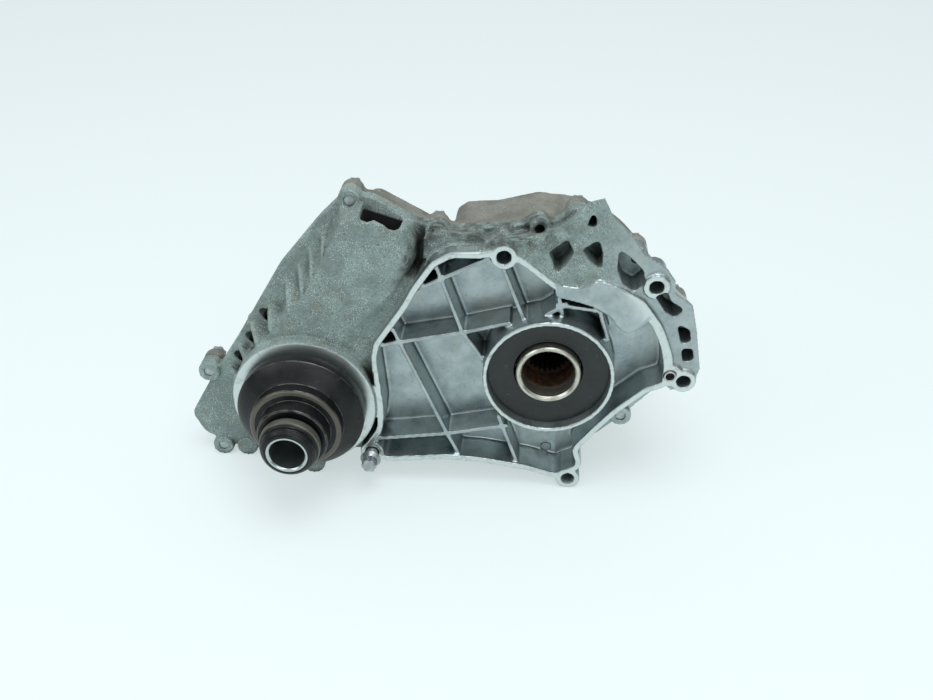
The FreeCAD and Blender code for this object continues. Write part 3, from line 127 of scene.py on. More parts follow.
# The smooth pad inside the bell's rim, which is level with the rim but left as cast, in mm.
PAD_MM = [
    (2, 82), (2, 69), (18, 65), (31, 61), (44, 53), (50, 44), (57, 39), (65, 43), (73, 50),
    (66, 64), (52, 76), (36, 83), (20, 79),
]


# ------------------------------------------------------------------ colours and nodes

SMOOTH = {"interpolation_type": "SMOOTHSTEP"}
RING_PERIOD = 0.314  # between two rings of the wave pattern at a scale of 1
RIGHT = (1, 0, 0)
UP = (0, 0, 1)


def linear(colour):
    """A written sRGB colour, such as "C8D0D4", as the linear values that shaders use."""
    parts = [int(colour[i:i + 2], 16) / 255 for i in (0, 2, 4)]
    return [p / 12.92 if p <= 0.04045 else ((p + 0.055) / 1.055) ** 2.4 for p in parts] + [1.0]


def add_node(tree, kind, settings=None, inputs=None):
    """Adds one node with its settings, and gives or links each of its inputs."""
    node = tree.nodes.new(kind)
    for name, value in (settings or {}).items():
        setattr(node, name, value)
    for name, value in (inputs or {}).items():
        socket = node.inputs[name]
        if isinstance(value, bpy.types.NodeSocket):
            tree.links.new(value, socket)
        else:
            socket.default_value = value
    return node


class Finish:
    """A material being made: a bare look, and the coats laid over it one by one."""

    def __init__(self, name, colour, roughness, metallic=0.0, relief_mm=0.0):
        self.material = bpy.data.materials.new(name)
        self.material.use_nodes = True
        self.tree = self.material.node_tree
        self.tree.nodes.clear()
        self.place = add_node(self.tree, "ShaderNodeTexCoord").outputs["Object"]
        self.looks = {"colour": linear(colour), "roughness": roughness, "metallic": metallic,
                      "relief": 0.0}
        self.relief_mm = relief_mm

    def coat(self, share, **looks):
        """Lays a coat over what is there, where share is 1: a colour, roughness or the like."""
        for look, value in looks.items():
            under = self.looks[look]
            if look == "colour":
                mix = add_node(self.tree, "ShaderNodeMix", {"data_type": "RGBA"},
                               {0: share, 6: under, 7: linear(value)})
                self.looks[look] = mix.outputs[2]
            else:
                mix = add_node(self.tree, "ShaderNodeMix", {"data_type": "FLOAT"},
                               {0: share, 2: under, 3: value})
                self.looks[look] = mix.outputs[0]

    def uneven(self, size_mm, low, high, most=1.0, detail=3.0, seed=0.0):
        """Soft patches of about size_mm: 0 where the noise is under low, most where over high."""
        noise = add_node(self.tree, "ShaderNodeTexNoise", {"noise_dimensions": "4D"},
                         {"Vector": self.place, "W": seed, "Scale": 1 / (size_mm * MM),
                          "Detail": detail, "Roughness": 0.6})
        return add_node(self.tree, "ShaderNodeMapRange", SMOOTH,
                        {0: noise.outputs[0], 1: low, 2: high, 3: 0.0, 4: most}).outputs[0]

    def grains(self, size_mm, share, most=1.0):
        """Round grains about size_mm apart, each as wide as its share of that."""
        cells = add_node(self.tree, "ShaderNodeTexVoronoi", {},
                         {"Vector": self.place, "Scale": 1 / (size_mm * MM)})
        return add_node(self.tree, "ShaderNodeMapRange", SMOOTH,
                        {0: cells.outputs["Distance"], 1: share, 2: share * 0.5, 3: 0.0,
                         4: most}).outputs[0]

    def within(self, axis, radius_mm, most=1.0, beyond=False):
        """most nearer than radius_mm to a shaft's axis (x, z), or beyond it, and 0 elsewhere."""
        x, z = axis
        moved = add_node(self.tree, "ShaderNodeMapping", {},
                         {0: self.place, 1: (-x, 0, -z), 3: (1, 0, 1)}).outputs[0]
        reach = add_node(self.tree, "ShaderNodeVectorMath", {"operation": "LENGTH"}, {0: moved})
        edge = (-0.2 if beyond else 0.2) * MM
        return add_node(self.tree, "ShaderNodeMapRange", SMOOTH,
                        {0: reach.outputs["Value"], 1: radius_mm * MM + edge,
                         2: radius_mm * MM - edge, 3: 0.0, 4: most}).outputs[0]

    def lathe_rings(self, axis, spacing_mm):
        """Fine rings round a shaft's axis (x, z), as a lathe leaves them."""
        x, z = axis
        moved = add_node(self.tree, "ShaderNodeMapping", {}, {0: self.place, 1: (-x, 0, -z)})
        return add_node(self.tree, "ShaderNodeTexWave",
                        {"wave_type": "RINGS", "rings_direction": "SPHERICAL"},
                        {"Vector": moved.outputs[0], "Scale": RING_PERIOD / (spacing_mm * MM),
                         "Distortion": 0.5, "Detail": 2.0}).outputs["Fac"]

    def hollows(self, reach_mm, low, high, most=1.0):
        """most deep in a corner or hollow, 0 on an open face, found by ambient occlusion: a mask
        for painted shade.
        """
        shade = add_node(self.tree, "ShaderNodeAmbientOcclusion", {"samples": 8},
                         {"Distance": reach_mm * MM})
        return add_node(self.tree, "ShaderNodeMapRange", SMOOTH,
                        {0: shade.outputs["AO"], 1: high, 2: low, 3: 0.0, 4: most}).outputs[0]

    def along(self, start_mm, end_mm, most=1.0, way=(0, 1, 0)):
        """0 at start_mm along Y (or another way), most from end_mm on."""
        spot = add_node(self.tree, "ShaderNodeVectorMath", {"operation": "DOT_PRODUCT"},
                        {0: self.place, 1: way}).outputs["Value"]
        return add_node(self.tree, "ShaderNodeMapRange", SMOOTH,
                        {0: spot, 1: start_mm * MM, 2: end_mm * MM, 3: 0.0, 4: most}).outputs[0]

    def band(self, reach_mm, most=1.0, way=(0, 1, 0)):
        """most between two places along Y (or another way), 0 outside them."""
        start, finish = reach_mm
        return self.along(finish, finish - 1, self.along(start, start + 1, most, way), way)

    def marked(self, name, most=1.0):
        """An attribute painted on the mesh, thinned by most, which may be a pattern."""
        mark = add_node(self.tree, "ShaderNodeAttribute", {"attribute_name": name}).outputs["Fac"]
        return add_node(self.tree, "ShaderNodeMapRange", SMOOTH,
                        {0: mark, 1: 0.0, 2: 1.0, 3: 0.0, 4: most}).outputs[0]

    def done(self):
        """Joins the looks to the surface shader."""
        output = add_node(self.tree, "ShaderNodeOutputMaterial")
        normal = {}
        if self.relief_mm:
            bump = add_node(self.tree, "ShaderNodeBump", {},
                            {"Height": self.looks["relief"], "Distance": self.relief_mm * MM})
            normal = {"Normal": bump.outputs[0]}
        surface = add_node(self.tree, "ShaderNodeBsdfPrincipled", {},
                           {"Base Color": self.looks["colour"],
                            "Roughness": self.looks["roughness"],
                            "Metallic": self.looks["metallic"], **normal})
        self.tree.links.new(surface.outputs[0], output.inputs[0])
        return self.material


# ------------------------------------------------------------------ finishes

def front_casting_metal():
    """Pressure die-cast aluminium, painted darker in its hollows as shade. Inside the bell it is
    clean:
    bright, with glossy fillets, and cut white where it is machined. Outside the bell it has met
    the road:
    a grey-green sandy skin with bright grit, olive film and dark grime, and painted shade, near
    black, in its grooves, in the hollows between its fins and inside the slot in its top."""
    f = Finish("die_cast_aluminium", "B4BEBE", 0.34, 0.9, relief_mm=0.3)
    f.coat(f.uneven(16, 0.35, 0.7), colour="97A3A5", roughness=0.27)
    f.coat(f.uneven(40, 0.5, 0.75, 0.5, seed=3), colour="A29D8F")
    f.coat(f.uneven(3.0, 0.55, 0.75, 0.5, seed=8), colour="7E8785", roughness=0.45)
    # Painted shade: darker wherever ambient occlusion finds a corner or hollow, inside the bell
    # too.
    f.coat(f.hollows(10, 0.2, 0.8, 0.85), colour="4C5557")
    f.coat(f.uneven(1.8, 0.3, 0.7), relief=0.16)

    f.coat(f.marked("weathered"), colour="97A9A4", roughness=0.62, metallic=0.35)
    f.coat(f.marked("weathered", f.uneven(24, 0.38, 0.62, seed=5)), colour="84938F")
    f.coat(f.marked("weathered", f.uneven(9, 0.52, 0.7, 0.5, seed=6)), colour="7F7F68")
    f.coat(f.marked("weathered", f.uneven(1.1, 0.35, 0.65, detail=4.0)), relief=1.0)
    f.coat(f.marked("weathered", f.uneven(2.0, 0.48, 0.66, 0.55, seed=7)), colour="5E6966")
    speckled = f.uneven(9, 0.40, 0.58, 0.95, seed=2)
    f.coat(f.marked("weathered", f.grains(1.1, 0.34, speckled)), colour="E6EEEB", relief=1.0)
    # Painted shade: near black in the grooves and hollows of the weathered skin.
    f.coat(f.marked("weathered", f.hollows(9, 0.3, 0.85)), colour="1B1A15", roughness=0.8)
    f.coat(f.marked("grimy", f.uneven(8, 0.35, 0.65, 0.75, seed=9)), colour="33322B",
           roughness=0.75)
    # Painted shadow: black inside the slot in the top, below its slanting upper edge.
    slot_shadow = f.band(SLOT_X_MM, f.band(SLOT_Y_MM), way=RIGHT)
    slot_shadow = f.along(SLOT_LOW_MM, SLOT_LOW_MM + 1, slot_shadow, way=UP)
    slot_shadow = f.along(SLOT_HIGH_MM + 2, SLOT_HIGH_MM, slot_shadow, way=SLOT_SLANT)
    f.coat(slot_shadow, colour="0B0A09", roughness=0.9, metallic=0.0)
    # Painted shade: black in the hollows between the lowest fins.
    f.coat(f.marked("pocket_shade"), colour="13110E", roughness=0.9, metallic=0.1)

    f.coat(f.marked("machined"), colour="CFD8D5", roughness=0.3, metallic=0.9, relief=0.0)
    f.coat(f.marked("machined", f.uneven(7, 0.5, 0.7, 0.5)), colour="A9AEA9")
    f.coat(f.marked("machined", f.uneven(14, 0.62, 0.74, 0.7, seed=4)), colour="77766B")
    return f.done()


def rear_casting_metal():
    """Sand-textured cast aluminium, dulled to a brownish grey by dried road film."""
    f = Finish("sand_cast_aluminium", "8F9087", 0.6, 0.3, relief_mm=0.22)
    f.coat(f.uneven(30, 0.35, 0.65), colour="777870")
    f.coat(f.uneven(11, 0.5, 0.72, 0.5, seed=2), colour="756B57")
    f.coat(f.uneven(2.2, 0.5, 0.7, 0.5, seed=3), colour="5F5F57")
    f.coat(f.uneven(1.3, 0.35, 0.65, detail=4.0), relief=1.0)
    f.coat(f.grains(2.0, 0.25, f.uneven(13, 0.5, 0.68, 0.8, seed=4)), colour="D5DAD4")
    # Painted shade: dark in the hollows, found by ambient occlusion.
    f.coat(f.hollows(8, 0.3, 0.85), colour="1C1A16", roughness=0.8)
    return f.done()


def turned_black_steel(axis, end_mm=None):
    """Black phosphated steel, turned: satin, worn to grey metal along its edges. The end face
    and the bore of a stub are left bright, and bands on its pot and collar get painted highlights."""
    f = Finish("phosphated_steel", "1B1C1E", 0.34, 0.6, relief_mm=0.02)
    f.coat(f.uneven(20, 0.4, 0.7), colour="272828", roughness=0.42)
    f.coat(f.uneven(5, 0.6, 0.75, 0.5, seed=2), colour="4A4740", roughness=0.5)
    f.coat(f.marked("edge", f.uneven(6, 0.35, 0.6, 0.7)), colour="64625C", roughness=0.3)
    f.coat(f.lathe_rings(axis, 0.9), relief=1.0)
    if end_mm is not None:
        # Painted highlights: brighter bands on the pot's shoulder and on the collar.
        f.coat(f.within(axis, POT_EDGE_MM, f.band(POT_HIGHLIGHT_MM), beyond=True),
               colour="5E5A52", roughness=0.36)
        f.coat(f.within(axis, COLLAR_EDGE_MM, f.band(COLLAR_HIGHLIGHT_MM), beyond=True),
               colour="6B6961", roughness=0.34)
        f.coat(f.within(axis, STUB_BORE_MM + 0.4), colour="83898A", roughness=0.35,
               metallic=0.9)
        f.coat(f.within(axis, STUB_RING_MM, f.along(end_mm + 1.6, end_mm + 1.0)),
               colour="B9C1C0", roughness=0.27, metallic=0.95)
    return f.done()


def bore_steel():
    """The input shaft: pale turned steel at its mouth, rust brown where its splines start, and
    painted black as shade deeper in.
    """
    f = Finish("turned_steel", "C8C6BA", 0.27, 0.9, relief_mm=0.008)
    f.coat(f.uneven(8, 0.35, 0.7), colour="A9A79B", roughness=0.33)
    f.coat(f.lathe_rings(INPUT_AXIS, 0.7), relief=1.0)
    f.coat(f.along(*BORE_DULL_MM, 0.55), colour="8A8478", roughness=0.4)
    f.coat(f.along(*BORE_RUST_MM), colour="33261D", roughness=0.65, metallic=0.4)
    f.coat(f.along(*BORE_RUST_MM, f.uneven(4, 0.42, 0.62, 0.8, seed=2)), colour="6A432A")
    # Painted shade: black deep inside the bore.
    f.coat(f.along(*BORE_SHADE_MM), colour="0E0C0A")
    return f.done()


def seal_rubber():
    """Black nitrile rubber moulded over a steel case: satin, with a faint bloom."""
    f = Finish("seal_rubber", "15191A", 0.34, relief_mm=0.015)
    f.coat(f.uneven(12, 0.4, 0.7), colour="202526", roughness=0.42)
    f.coat(f.uneven(0.9, 0.35, 0.65), relief=1.0)
    f.coat(f.uneven(5, 0.62, 0.75, 0.6, seed=3), colour="4D4A43", roughness=0.6)
    return f.done()


def zinc_flake():
    """Zinc-flake coated steel: a soft even silver grey, with painted shade in its corners."""
    f = Finish("zinc_flake_steel", "B7BEBF", 0.38, 0.8, relief_mm=0.01)
    f.coat(f.uneven(3, 0.35, 0.65), colour="9AA1A2", roughness=0.46)
    f.coat(f.uneven(0.5, 0.3, 0.7), relief=1.0)
    # Painted shade: darker in the corners, found by ambient occlusion.
    f.coat(f.hollows(3, 0.3, 0.8), colour="3F4140")
    return f.done()


def plain_metal(name, tone, shade, roughness):
    """Clean machined or plated metal: even, with faint darker patches."""
    f = Finish(name, tone, roughness, 0.95, relief_mm=0.006)
    f.coat(f.uneven(5, 0.35, 0.7), colour=shade, roughness=roughness + 0.07)
    f.coat(f.uneven(0.6, 0.3, 0.7), relief=1.0)
    return f.done()


def moulded_nylon():
    """Moulded black nylon: low gloss with a fine spark-eroded grain."""
    f = Finish("black_nylon", "202122", 0.5, relief_mm=0.02)
    f.coat(f.uneven(6, 0.4, 0.7), colour="2C2C2B")
    f.coat(f.uneven(0.7, 0.35, 0.65), relief=1.0)
    return f.done()


def friction_paper():
    """Bonded paper friction lining: matt brown fibres, glazed dark by oil."""
    f = Finish("friction_paper", "7A6148", 0.85, relief_mm=0.04)
    f.coat(f.uneven(1.5, 0.35, 0.65), colour="4E3C2C")
    f.coat(f.uneven(0.5, 0.3, 0.7), relief=1.0)
    return f.done()


# ------------------------------------------------------------------ shapes

def new_object(name, mesh):
    piece = bpy.data.objects.new(name, mesh)
    bpy.context.scene.collection.objects.link(piece)
    return piece


def joined_copy(node):
    """A copy of a CAD node's loose triangles, joined into closed shells, as a new object."""
    mesh = nodes[node].data.copy()
    shell = bmesh.new()
    shell.from_mesh(mesh)
    bmesh.ops.remove_doubles(shell, verts=shell.verts, dist=JOIN_MM * MM)
    shell.to_mesh(mesh)
    shell.free()
    mesh.materials.clear()
    return new_object(node + "_skin", mesh)


def settle(piece):
    """Turns a piece's modifiers into plain mesh."""
    bpy.context.view_layer.update()
    ready = piece.evaluated_get(bpy.context.evaluated_depsgraph_get())
    shape = bpy.data.meshes.new_from_object(ready)
    old = piece.data
    piece.modifiers.clear()
    piece.data = shape
    bpy.data.meshes.remove(old)
    return piece


def dress(piece, body, node, material):
    """Gives a finished piece its material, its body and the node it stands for."""
    piece.data.materials.clear()
    piece.data.materials.append(material)
    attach(piece, body)
    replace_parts(piece, node)
    return piece


def inside(outline, x, z):
    """Whether a place lies inside an outline of (x, z) corners."""
    hit = False
    for (ax, az), (bx, bz) in zip(outline, outline[1:] + outline[:1]):
        if (az > z) != (bz > z) and x < (bx - ax) * (z - az) / (bz - az) + ax:
            hit = not hit
    return hit


def cast_skin(piece, voxel_mm, rounds, triangles):
    """Rounds a casting's edges and corners as the mould does: an even skin, smoothed, then
    thinned where it is flat."""
    remesh = piece.modifiers.new("skin", "REMESH")
    remesh.mode = "VOXEL"
    remesh.voxel_size = voxel_mm * MM
    smooth = piece.modifiers.new("fillets", "SMOOTH")
    smooth.factor = 0.5
    smooth.iterations = rounds
    settle(piece)
    thin = piece.modifiers.new("thin", "DECIMATE")
    thin.ratio = min(1.0, triangles / (2 * len(piece.data.polygons)))
    settle(piece)
    piece.data.polygons.foreach_set("use_smooth", [True] * len(piece.data.polygons))
    return piece


def step(value, low, high):
    """0 up to low, 1 from high on."""
    return min(1.0, max(0.0, (value - low) / (high - low)))


# The three deep hollows between the lowest fins: where each starts near the front face and
# where it ends by the flange, in mm.
FIN_HOLLOWS_MM = [
    ((-214, 13, 14), (-226, 33, 29)), ((-227, 13, -2), (-240, 33, 6)),
    ((-238, 13, -18), (-252, 33, -13)),
]
HOLLOW_HALF_WIDTH_MM = 6.2
HOLLOW_DEPTH_MM = 8.5
HOLLOW_HALF_LENGTH = 0.7  # of the way from where it starts to where it ends
HOLLOW_OUTWARDS = (-0.85, 0.0, 0.53)


def pocket_places():
    """For each hollow between the fins, the matrix that turns a unit ball into it."""
    outwards = Vector(HOLLOW_OUTWARDS)
    places = []
    for start, finish in FIN_HOLLOWS_MM:
        start, finish = Vector(start) * MM, Vector(finish) * MM
        along = (finish - start).normalized()
        across = along.cross(outwards).normalized()
        out = across.cross(along)
        half = (finish - start).length * HOLLOW_HALF_LENGTH
        turn = Matrix((along * half, across * HOLLOW_HALF_WIDTH_MM * MM,
                       out * HOLLOW_DEPTH_MM * MM)).transposed().to_4x4()
        places.append(Matrix.Translation((start + finish) / 2) @ turn)
    return places


def deepen_hollows(piece):
    """Cuts the hollows between the lowest fins into the front casting."""
    balls = bmesh.new()
    for place in pocket_places():
        bmesh.ops.create_icosphere(balls, subdivisions=4, radius=1.0, matrix=place)
    bmesh.ops.recalc_face_normals(balls, faces=balls.faces)
    mesh = bpy.data.meshes.new("fin_hollows")
    balls.to_mesh(mesh)
    balls.free()
    cutter = new_object("fin_hollows", mesh)
    carve = piece.modifiers.new("hollows", "BOOLEAN")
    carve.object = cutter
    carve.operation = "DIFFERENCE"
    carve.solver = "EXACT"
    settle(piece)
    bpy.data.objects.remove(cutter)
    bpy.data.meshes.remove(mesh)
    return piece


def grime(x, z):
    """How thick grime lies outside the bell: in the valley and along the bell's top."""
    off_valley = abs(x - VALLEY_X_MM - 0.5 * (z - VALLEY_Z_MM))
    in_valley = (1 - step(off_valley, 5, 14)) * step(z, 62, 85)
    on_top = step(z, 96, 112) * (1 - step(x, -10, 25)) * step(x, -110, -95)
    return max(in_valley, on_top)


def paint_casting(piece):
    """Marks where the front casting is machined, weathered by the road, thick with grime, and
    painted black as shade inside the hollows between its fins."""
    marks = {"machined": [], "weathered": [], "grimy": [], "pocket_shade": []}
    pockets = [place.inverted() for place in pocket_places()]
    for v in piece.data.vertices:
        x, y, z = (c / MM for c in v.co)
        level = step(-v.normal.y, 0.75, 0.95)
        rim = y < RIM_DEPTH_MM and not inside(PAD_MM, x, z)
        in_bell = y < BELL_DEPTH_MM and inside(BELL_MM, x, z)
        marks["machined"].append(level if rim else 0.0)
        marks["weathered"].append(0.0 if in_bell else 1.0 - 0.8 * step(x, 20, 62))
        marks["grimy"].append(0.0 if in_bell else grime(x, z))
        # Painted shade: 1 inside the hollows between the fins, where the casting is painted black.
        marks["pocket_shade"].append(max(1 - step((turn @ v.co).length, 0.8, 1.05)
                                  for turn in pockets))
    for name, values in marks.items():
        piece.data.attributes.new(name, "FLOAT", "POINT").data.foreach_set("value", values)
    return piece


def softened(node, edge_mm, material, body):
    """A copy of a CAD node whose sharp edges are rounded by edge_mm and marked as edges."""
    piece = joined_copy(node)
    # Two slots, because the bevel's own faces take the second one, which tells them apart.
    for _ in range(2):
        piece.data.materials.append(material)
    bevel = piece.modifiers.new("edges", "BEVEL")
    bevel.width = edge_mm * MM
    bevel.segments = 3
    bevel.limit_method = "ANGLE"
    bevel.angle_limit = math.radians(32)
    bevel.material = 1
    settle(piece)
    mesh = piece.data
    edges = [float(face.material_index) for face in mesh.polygons]
    mesh.attributes.new("edge", "FLOAT", "FACE").data.foreach_set("value", edges)
    for face in mesh.polygons:
        face.use_smooth = True
        face.material_index = 0
    mesh.set_sharp_from_angle(angle=math.radians(40))
    return dress(piece, body, node, material)


def front_casting():
    rough = deepen_hollows(joined_copy("front_housing"))
    piece = paint_casting(cast_skin(rough, voxel_mm=1.0, rounds=4, triangles=195000))
    piece.name = "front_casting"
    return dress(piece, "housing", "front_housing", front_casting_metal())


def rear_casting():
    piece = cast_skin(joined_copy("rear_housing"), voxel_mm=1.4, rounds=6, triangles=160000)
    piece.name = "rear_casting"
    return dress(piece, "housing", "rear_housing", rear_casting_metal())


# ------------------------------------------------------------------ bolt heads

STAR_LOBES = 6
STAR_CORNERS = 72
LOBE_DEPTH = 0.08  # of the head's radius
CROWN_MM = 0.5


def star_heads():
    """Geometry nodes that set a star-shaped bolt head, with its flange and its washer face, on
    each point, and give the whole its material."""
    group = bpy.data.node_groups.new("star_heads", "GeometryNodeTree")
    faces = group.interface
    faces.new_socket("Points", in_out="INPUT", socket_type="NodeSocketGeometry")
    for name in ("Head radius", "Head height", "Flange radius", "Flange height",
                 "Shank radius", "Shank length", "Turn"):
        faces.new_socket(name, in_out="INPUT", socket_type="NodeSocketFloat")
    faces.new_socket("Material", in_out="INPUT", socket_type="NodeSocketMaterial")
    faces.new_socket("Bolts", in_out="OUTPUT", socket_type="NodeSocketGeometry")
    given = add_node(group, "NodeGroupInput").outputs

    ring = add_node(group, "GeometryNodeMeshCircle", {"fill_type": "NGON"},
                    {"Vertices": STAR_CORNERS, "Radius": given["Head radius"]})
    number = add_node(group, "GeometryNodeInputIndex").outputs[0]
    angle = add_node(group, "ShaderNodeMath", {"operation": "MULTIPLY"},
                     {0: number, 1: STAR_LOBES * math.tau / STAR_CORNERS}).outputs[0]
    wave = add_node(group, "ShaderNodeMath", {"operation": "COSINE"}, {0: angle}).outputs[0]
    reach = add_node(group, "ShaderNodeMath", {"operation": "MULTIPLY_ADD"},
                     {0: wave, 1: LOBE_DEPTH, 2: 1 - LOBE_DEPTH}).outputs[0]
    place = add_node(group, "GeometryNodeInputPosition").outputs[0]
    lobe = add_node(group, "ShaderNodeVectorMath", {"operation": "SCALE"},
                    {0: place, "Scale": reach}).outputs[0]
    star = add_node(group, "GeometryNodeSetPosition", {},
                    {"Geometry": ring.outputs[0], "Position": lobe}).outputs[0]
    up = add_node(group, "ShaderNodeCombineXYZ", {}, {2: 1.0}).outputs[0]
    tall = add_node(group, "GeometryNodeExtrudeMesh", {},
                    {"Mesh": star, "Offset": up, "Offset Scale": given["Head height"]})
    crown = add_node(group, "GeometryNodeExtrudeMesh", {},
                     {"Mesh": tall.outputs["Mesh"], "Selection": tall.outputs["Top"],
                      "Offset": up, "Offset Scale": CROWN_MM * MM})
    narrow = add_node(group, "GeometryNodeScaleElements", {},
                      {"Geometry": crown.outputs["Mesh"], "Selection": crown.outputs["Top"],
                       "Scale": 0.9}).outputs[0]
    collar = add_node(group, "GeometryNodeMeshCone", {},
                      {"Vertices": 64, "Radius Top": given["Head radius"],
                       "Radius Bottom": given["Flange radius"],
                       "Depth": given["Flange height"]}).outputs["Mesh"]
    sunk = add_node(group, "ShaderNodeMath", {"operation": "MULTIPLY"},
                    {0: given["Shank length"], 1: -0.5}).outputs[0]
    below = add_node(group, "ShaderNodeCombineXYZ", {}, {2: sunk}).outputs[0]
    rod = add_node(group, "GeometryNodeMeshCylinder", {},
                   {"Vertices": 32, "Radius": given["Shank radius"],
                    "Depth": given["Shank length"]}).outputs["Mesh"]
    shank = add_node(group, "GeometryNodeTransform", {},
                     {"Geometry": rod, "Translation": below}).outputs[0]
    head = add_node(group, "GeometryNodeJoinGeometry")
    for part in (narrow, collar, shank):
        group.links.new(part, head.inputs[0])
    tilt = add_node(group, "ShaderNodeCombineXYZ", {}, {0: given["Turn"]}).outputs[0]
    heads = add_node(group, "GeometryNodeInstanceOnPoints", {},
                     {"Points": given["Points"], "Instance": head.outputs[0],
                      "Rotation": tilt}).outputs[0]
    solid = add_node(group, "GeometryNodeRealizeInstances", {}, {0: heads}).outputs[0]
    clad = add_node(group, "GeometryNodeSetMaterial", {},
                    {"Geometry": solid, "Material": given["Material"]}).outputs[0]
    output = add_node(group, "NodeGroupOutput")
    group.links.new(clad, output.inputs[0])
    return group


def island_middles(node):
    """The middle (x, z) of each loose part of a CAD node."""
    shell = bmesh.new()
    shell.from_mesh(nodes[node].data)
    bmesh.ops.remove_doubles(shell, verts=shell.verts, dist=JOIN_MM * MM)
    left = set(shell.verts)
    middles = []
    while left:
        part = set()
        reached = [left.pop()]
        while reached:
            vertex = reached.pop()
            part.add(vertex)
            for edge in vertex.link_edges:
                other = edge.other_vert(vertex)
                if other in left:
                    left.remove(other)
                    reached.append(other)
        xs = [v.co.x for v in part]
        zs = [v.co.z for v in part]
        middles.append(((min(xs) + max(xs)) / 2, (min(zs) + max(zs)) / 2))
    shell.free()
    return middles


def bolts(node, group, material, level_mm, sizes):
    """The bolts of a CAD node, each with its star head above level_mm along Y."""
    spots = bpy.data.meshes.new(node + "_spots")
    spots.from_pydata([(x, level_mm * MM, z) for x, z in island_middles(node)], [], [])
    piece = new_object(node + "_set", spots)
    modifier = piece.modifiers.new("star_heads", "NODES")
    modifier.node_group = group
    for socket in group.interface.items_tree:
        if socket.name in sizes:
            modifier[socket.identifier] = sizes[socket.name]
        elif socket.name == "Material":
            modifier[socket.identifier] = material
    settle(piece)
    piece.data.set_sharp_from_angle(angle=math.radians(35))
    return dress(piece, "housing", node, material)


def all_bolts():
    """The bolts that clamp the halves, and the one that stands in a hole of the bell."""
    group = star_heads()
    zinc = zinc_flake()
    bolts("housing_bolts", group, zinc, COVER_HEAD_MM,
          {"Head radius": 6.3 * MM, "Head height": 7.0 * MM, "Flange radius": 8.0 * MM,
           "Flange height": 2.6 * MM, "Shank radius": 3.9 * MM, "Shank length": 22.8 * MM,
           "Turn": -math.pi / 2})
    bolts("gearbox_bolt", group, zinc, GEARBOX_HEAD_MM,
          {"Head radius": 6.3 * MM, "Head height": 9.4 * MM, "Flange radius": 8.5 * MM,
           "Flange height": 3.6 * MM, "Shank radius": 4.9 * MM, "Shank length": 34.8 * MM,
           "Turn": math.pi / 2})


# ------------------------------------------------------------------ studio

PAPER = "ECF7F8"
FLOOR_HALF = 6.0


def studio():
    """A pale floor under the part, a pale backdrop, and three soft boxes."""
    low, high = cad_box
    floor_z = low[2]
    mesh = bpy.data.meshes.new("studio_floor")
    mesh.from_pydata([(-FLOOR_HALF, -FLOOR_HALF, floor_z), (FLOOR_HALF, -FLOOR_HALF, floor_z),
                      (FLOOR_HALF, FLOOR_HALF, floor_z), (-FLOOR_HALF, FLOOR_HALF, floor_z)],
                     [], [(0, 1, 2, 3)])
    floor = new_object("studio_floor", mesh)
    material = bpy.data.materials.new("pale_floor")
    material.use_nodes = True
    tree = material.node_tree
    tree.nodes.clear()
    output = tree.nodes.new("ShaderNodeOutputMaterial")
    paper = add_node(tree, "ShaderNodeBsdfDiffuse", {}, {"Color": linear(PAPER)})
    glow = add_node(tree, "ShaderNodeEmission", {}, {"Color": linear(PAPER), "Strength": 1.0})
    rays = add_node(tree, "ShaderNodeLightPath")
    seen = add_node(tree, "ShaderNodeMath", {"operation": "MAXIMUM"},
                    {0: rays.outputs["Is Camera Ray"], 1: rays.outputs["Is Glossy Ray"]})
    share = add_node(tree, "ShaderNodeMath", {"operation": "MULTIPLY"},
                     {0: seen.outputs[0], 1: 0.6})
    mix = add_node(tree, "ShaderNodeMixShader", {},
                   {0: share.outputs[0], 1: paper.outputs[0], 2: glow.outputs[0]})
    tree.links.new(mix.outputs[0], output.inputs[0])
    floor.data.materials.append(material)

    world = bpy.data.worlds.new("studio_air")
    bpy.context.scene.world = world
    world.use_nodes = True
    tree = world.node_tree
    tree.nodes.clear()
    output = tree.nodes.new("ShaderNodeOutputWorld")
    way = add_node(tree, "ShaderNodeTexCoord").outputs["Generated"]
    height = add_node(tree, "ShaderNodeSeparateXYZ", {}, {0: way}).outputs[2]
    share = add_node(tree, "ShaderNodeMapRange", SMOOTH, {0: height, 1: 0.08, 2: 0.75})
    sky = add_node(tree, "ShaderNodeMix", {"data_type": "RGBA"},
                   {0: share.outputs[0], 6: linear("5E6669"), 7: linear("FAFDFD")}).outputs[2]
    air = add_node(tree, "ShaderNodeBackground", {}, {"Color": sky, "Strength": 0.78})
    backdrop = add_node(tree, "ShaderNodeBackground", {},
                        {"Color": linear(PAPER), "Strength": 1.0})
    rays = add_node(tree, "ShaderNodeLightPath")
    mix = add_node(tree, "ShaderNodeMixShader", {},
                   {0: rays.outputs["Is Camera Ray"], 1: air.outputs[0], 2: backdrop.outputs[0]})
    tree.links.new(mix.outputs[0], output.inputs[0])

    middle = Vector([(a + b) / 2 for a, b in zip(low, high)])
    for name, place, size, power in (
            ("overhead_softbox", (0.1, -0.3, 1.5), 1.0, 13.0),
            ("left_softbox", (-1.3, -0.7, 0.9), 0.9, 5.0),
            ("front_softbox", (0.4, -1.5, 0.8), 0.9, 5.0)):
        lamp = bpy.data.lights.new(name, "AREA")
        lamp.shape = "SQUARE"
        lamp.size = size
        lamp.energy = power
        lamp.color = linear("F6FBFF")[:3]
        holder = bpy.data.objects.new(name, lamp)
        bpy.context.scene.collection.objects.link(holder)
        holder.location = place
        aim = middle - Vector(place)
        holder.rotation_euler = aim.to_track_quat("-Z", "Y").to_euler()


SENSOR_MM = 36.0
LENS_MM = 38.585
AZIMUTH_DEGREES = 3.7
ELEVATION_DEGREES = 33.0
CAMERA_PLACE = (-0.02198, -0.64319, 0.43836)


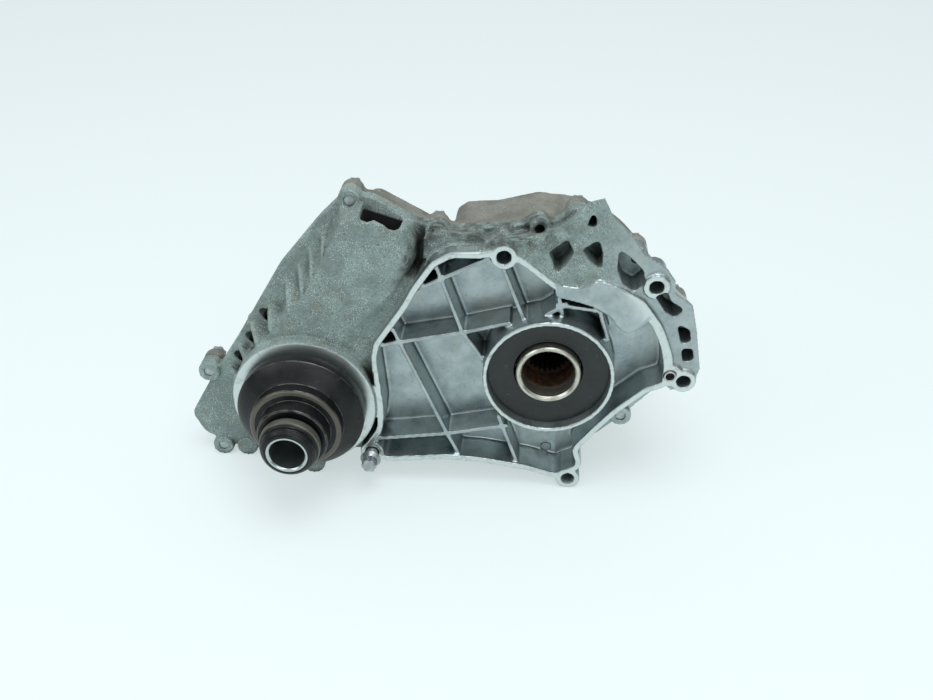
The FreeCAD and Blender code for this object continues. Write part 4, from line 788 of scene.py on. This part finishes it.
def camera():
    """Looks down on the face that bolts to the gearbox."""
    eye = bpy.data.cameras.new("camera")
    eye.sensor_width = SENSOR_MM
    eye.lens = LENS_MM
    eye.clip_start = 0.01
    holder = bpy.data.objects.new("camera", eye)
    bpy.context.scene.collection.objects.link(holder)
    azimuth = math.radians(AZIMUTH_DEGREES)
    elevation = math.radians(ELEVATION_DEGREES)
    back = Vector((math.sin(azimuth) * math.cos(elevation),
                   -math.cos(azimuth) * math.cos(elevation), math.sin(elevation)))
    right = Vector((math.cos(azimuth), math.sin(azimuth), 0.0))
    up = back.cross(right)
    turn = Matrix((right, up, back)).transposed().to_4x4()
    holder.matrix_world = Matrix.Translation(CAMERA_PLACE) @ turn
    bpy.context.scene.camera = holder


# ------------------------------------------------------------------ assembly

def main():
    bpy.context.scene.view_settings.view_transform = "Standard"
    camera()
    studio()

    black_output = turned_black_steel(FRONT_AXIS, STUB_END_MM)
    black_rear = turned_black_steel(INPUT_AXIS)
    rubber = seal_rubber()
    plated = plain_metal("plated_steel", "B4B7B4", "9A9E9C", 0.35)
    washer = plain_metal("washer_aluminium", "C6CACA", "AEB3B3", 0.38)
    ground = plain_metal("ground_steel", "C2C3C0", "A9AAA7", 0.26)
    machined = plain_metal("machined_steel", "A8A9A6", "909190", 0.33)

    front_casting()
    rear_casting()
    all_bolts()
    softened("input_seal", 0.5, rubber, "housing")
    softened("front_output_seal", 0.3, rubber, "housing")
    softened("rear_output_seal", 0.3, rubber, "housing")
    softened("input_shaft", 0.6, bore_steel(), "input")
    softened("dust_shield", 0.5, black_output, "front_output")
    softened("front_output_shaft", 0.4, black_output, "front_output")
    softened("rear_output_flange", 0.8, black_rear, "rear_output")
    softened("rear_flange_nut", 0.5, plated, "rear_output")
    softened("gearbox_dowel", 0.3, ground, "housing")
    softened("fill_plug", 0.4, plated, "housing")
    softened("drain_plug", 0.4, plated, "housing")
    softened("plug_washers", 0.2, washer, "housing")
    softened("breather_tube", 0.5, moulded_nylon(), "housing")

    inner = {"gear_steel": plain_metal("gear_steel", "A5A6A4", "8A8B8A", 0.3),
             "bearing_steel": plain_metal("bearing_steel", "C4C6C6", "AEB0B0", 0.18),
             "plate_steel": plain_metal("plate_steel", "9A9B99", "7E7F7E", 0.36),
             "friction_paper": friction_paper(), "ground_steel": ground,
             "machined_steel": machined}
    replaced = {name for piece in bpy.data.objects for name in piece.get("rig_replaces", [])}
    for part in frame["record"]["subparts"]:
        if part["node"] not in replaced:
            held = nodes[part["node"]].data.materials
            held.clear()
            held.append(inner.get(part["material_slot"], machined))


main()
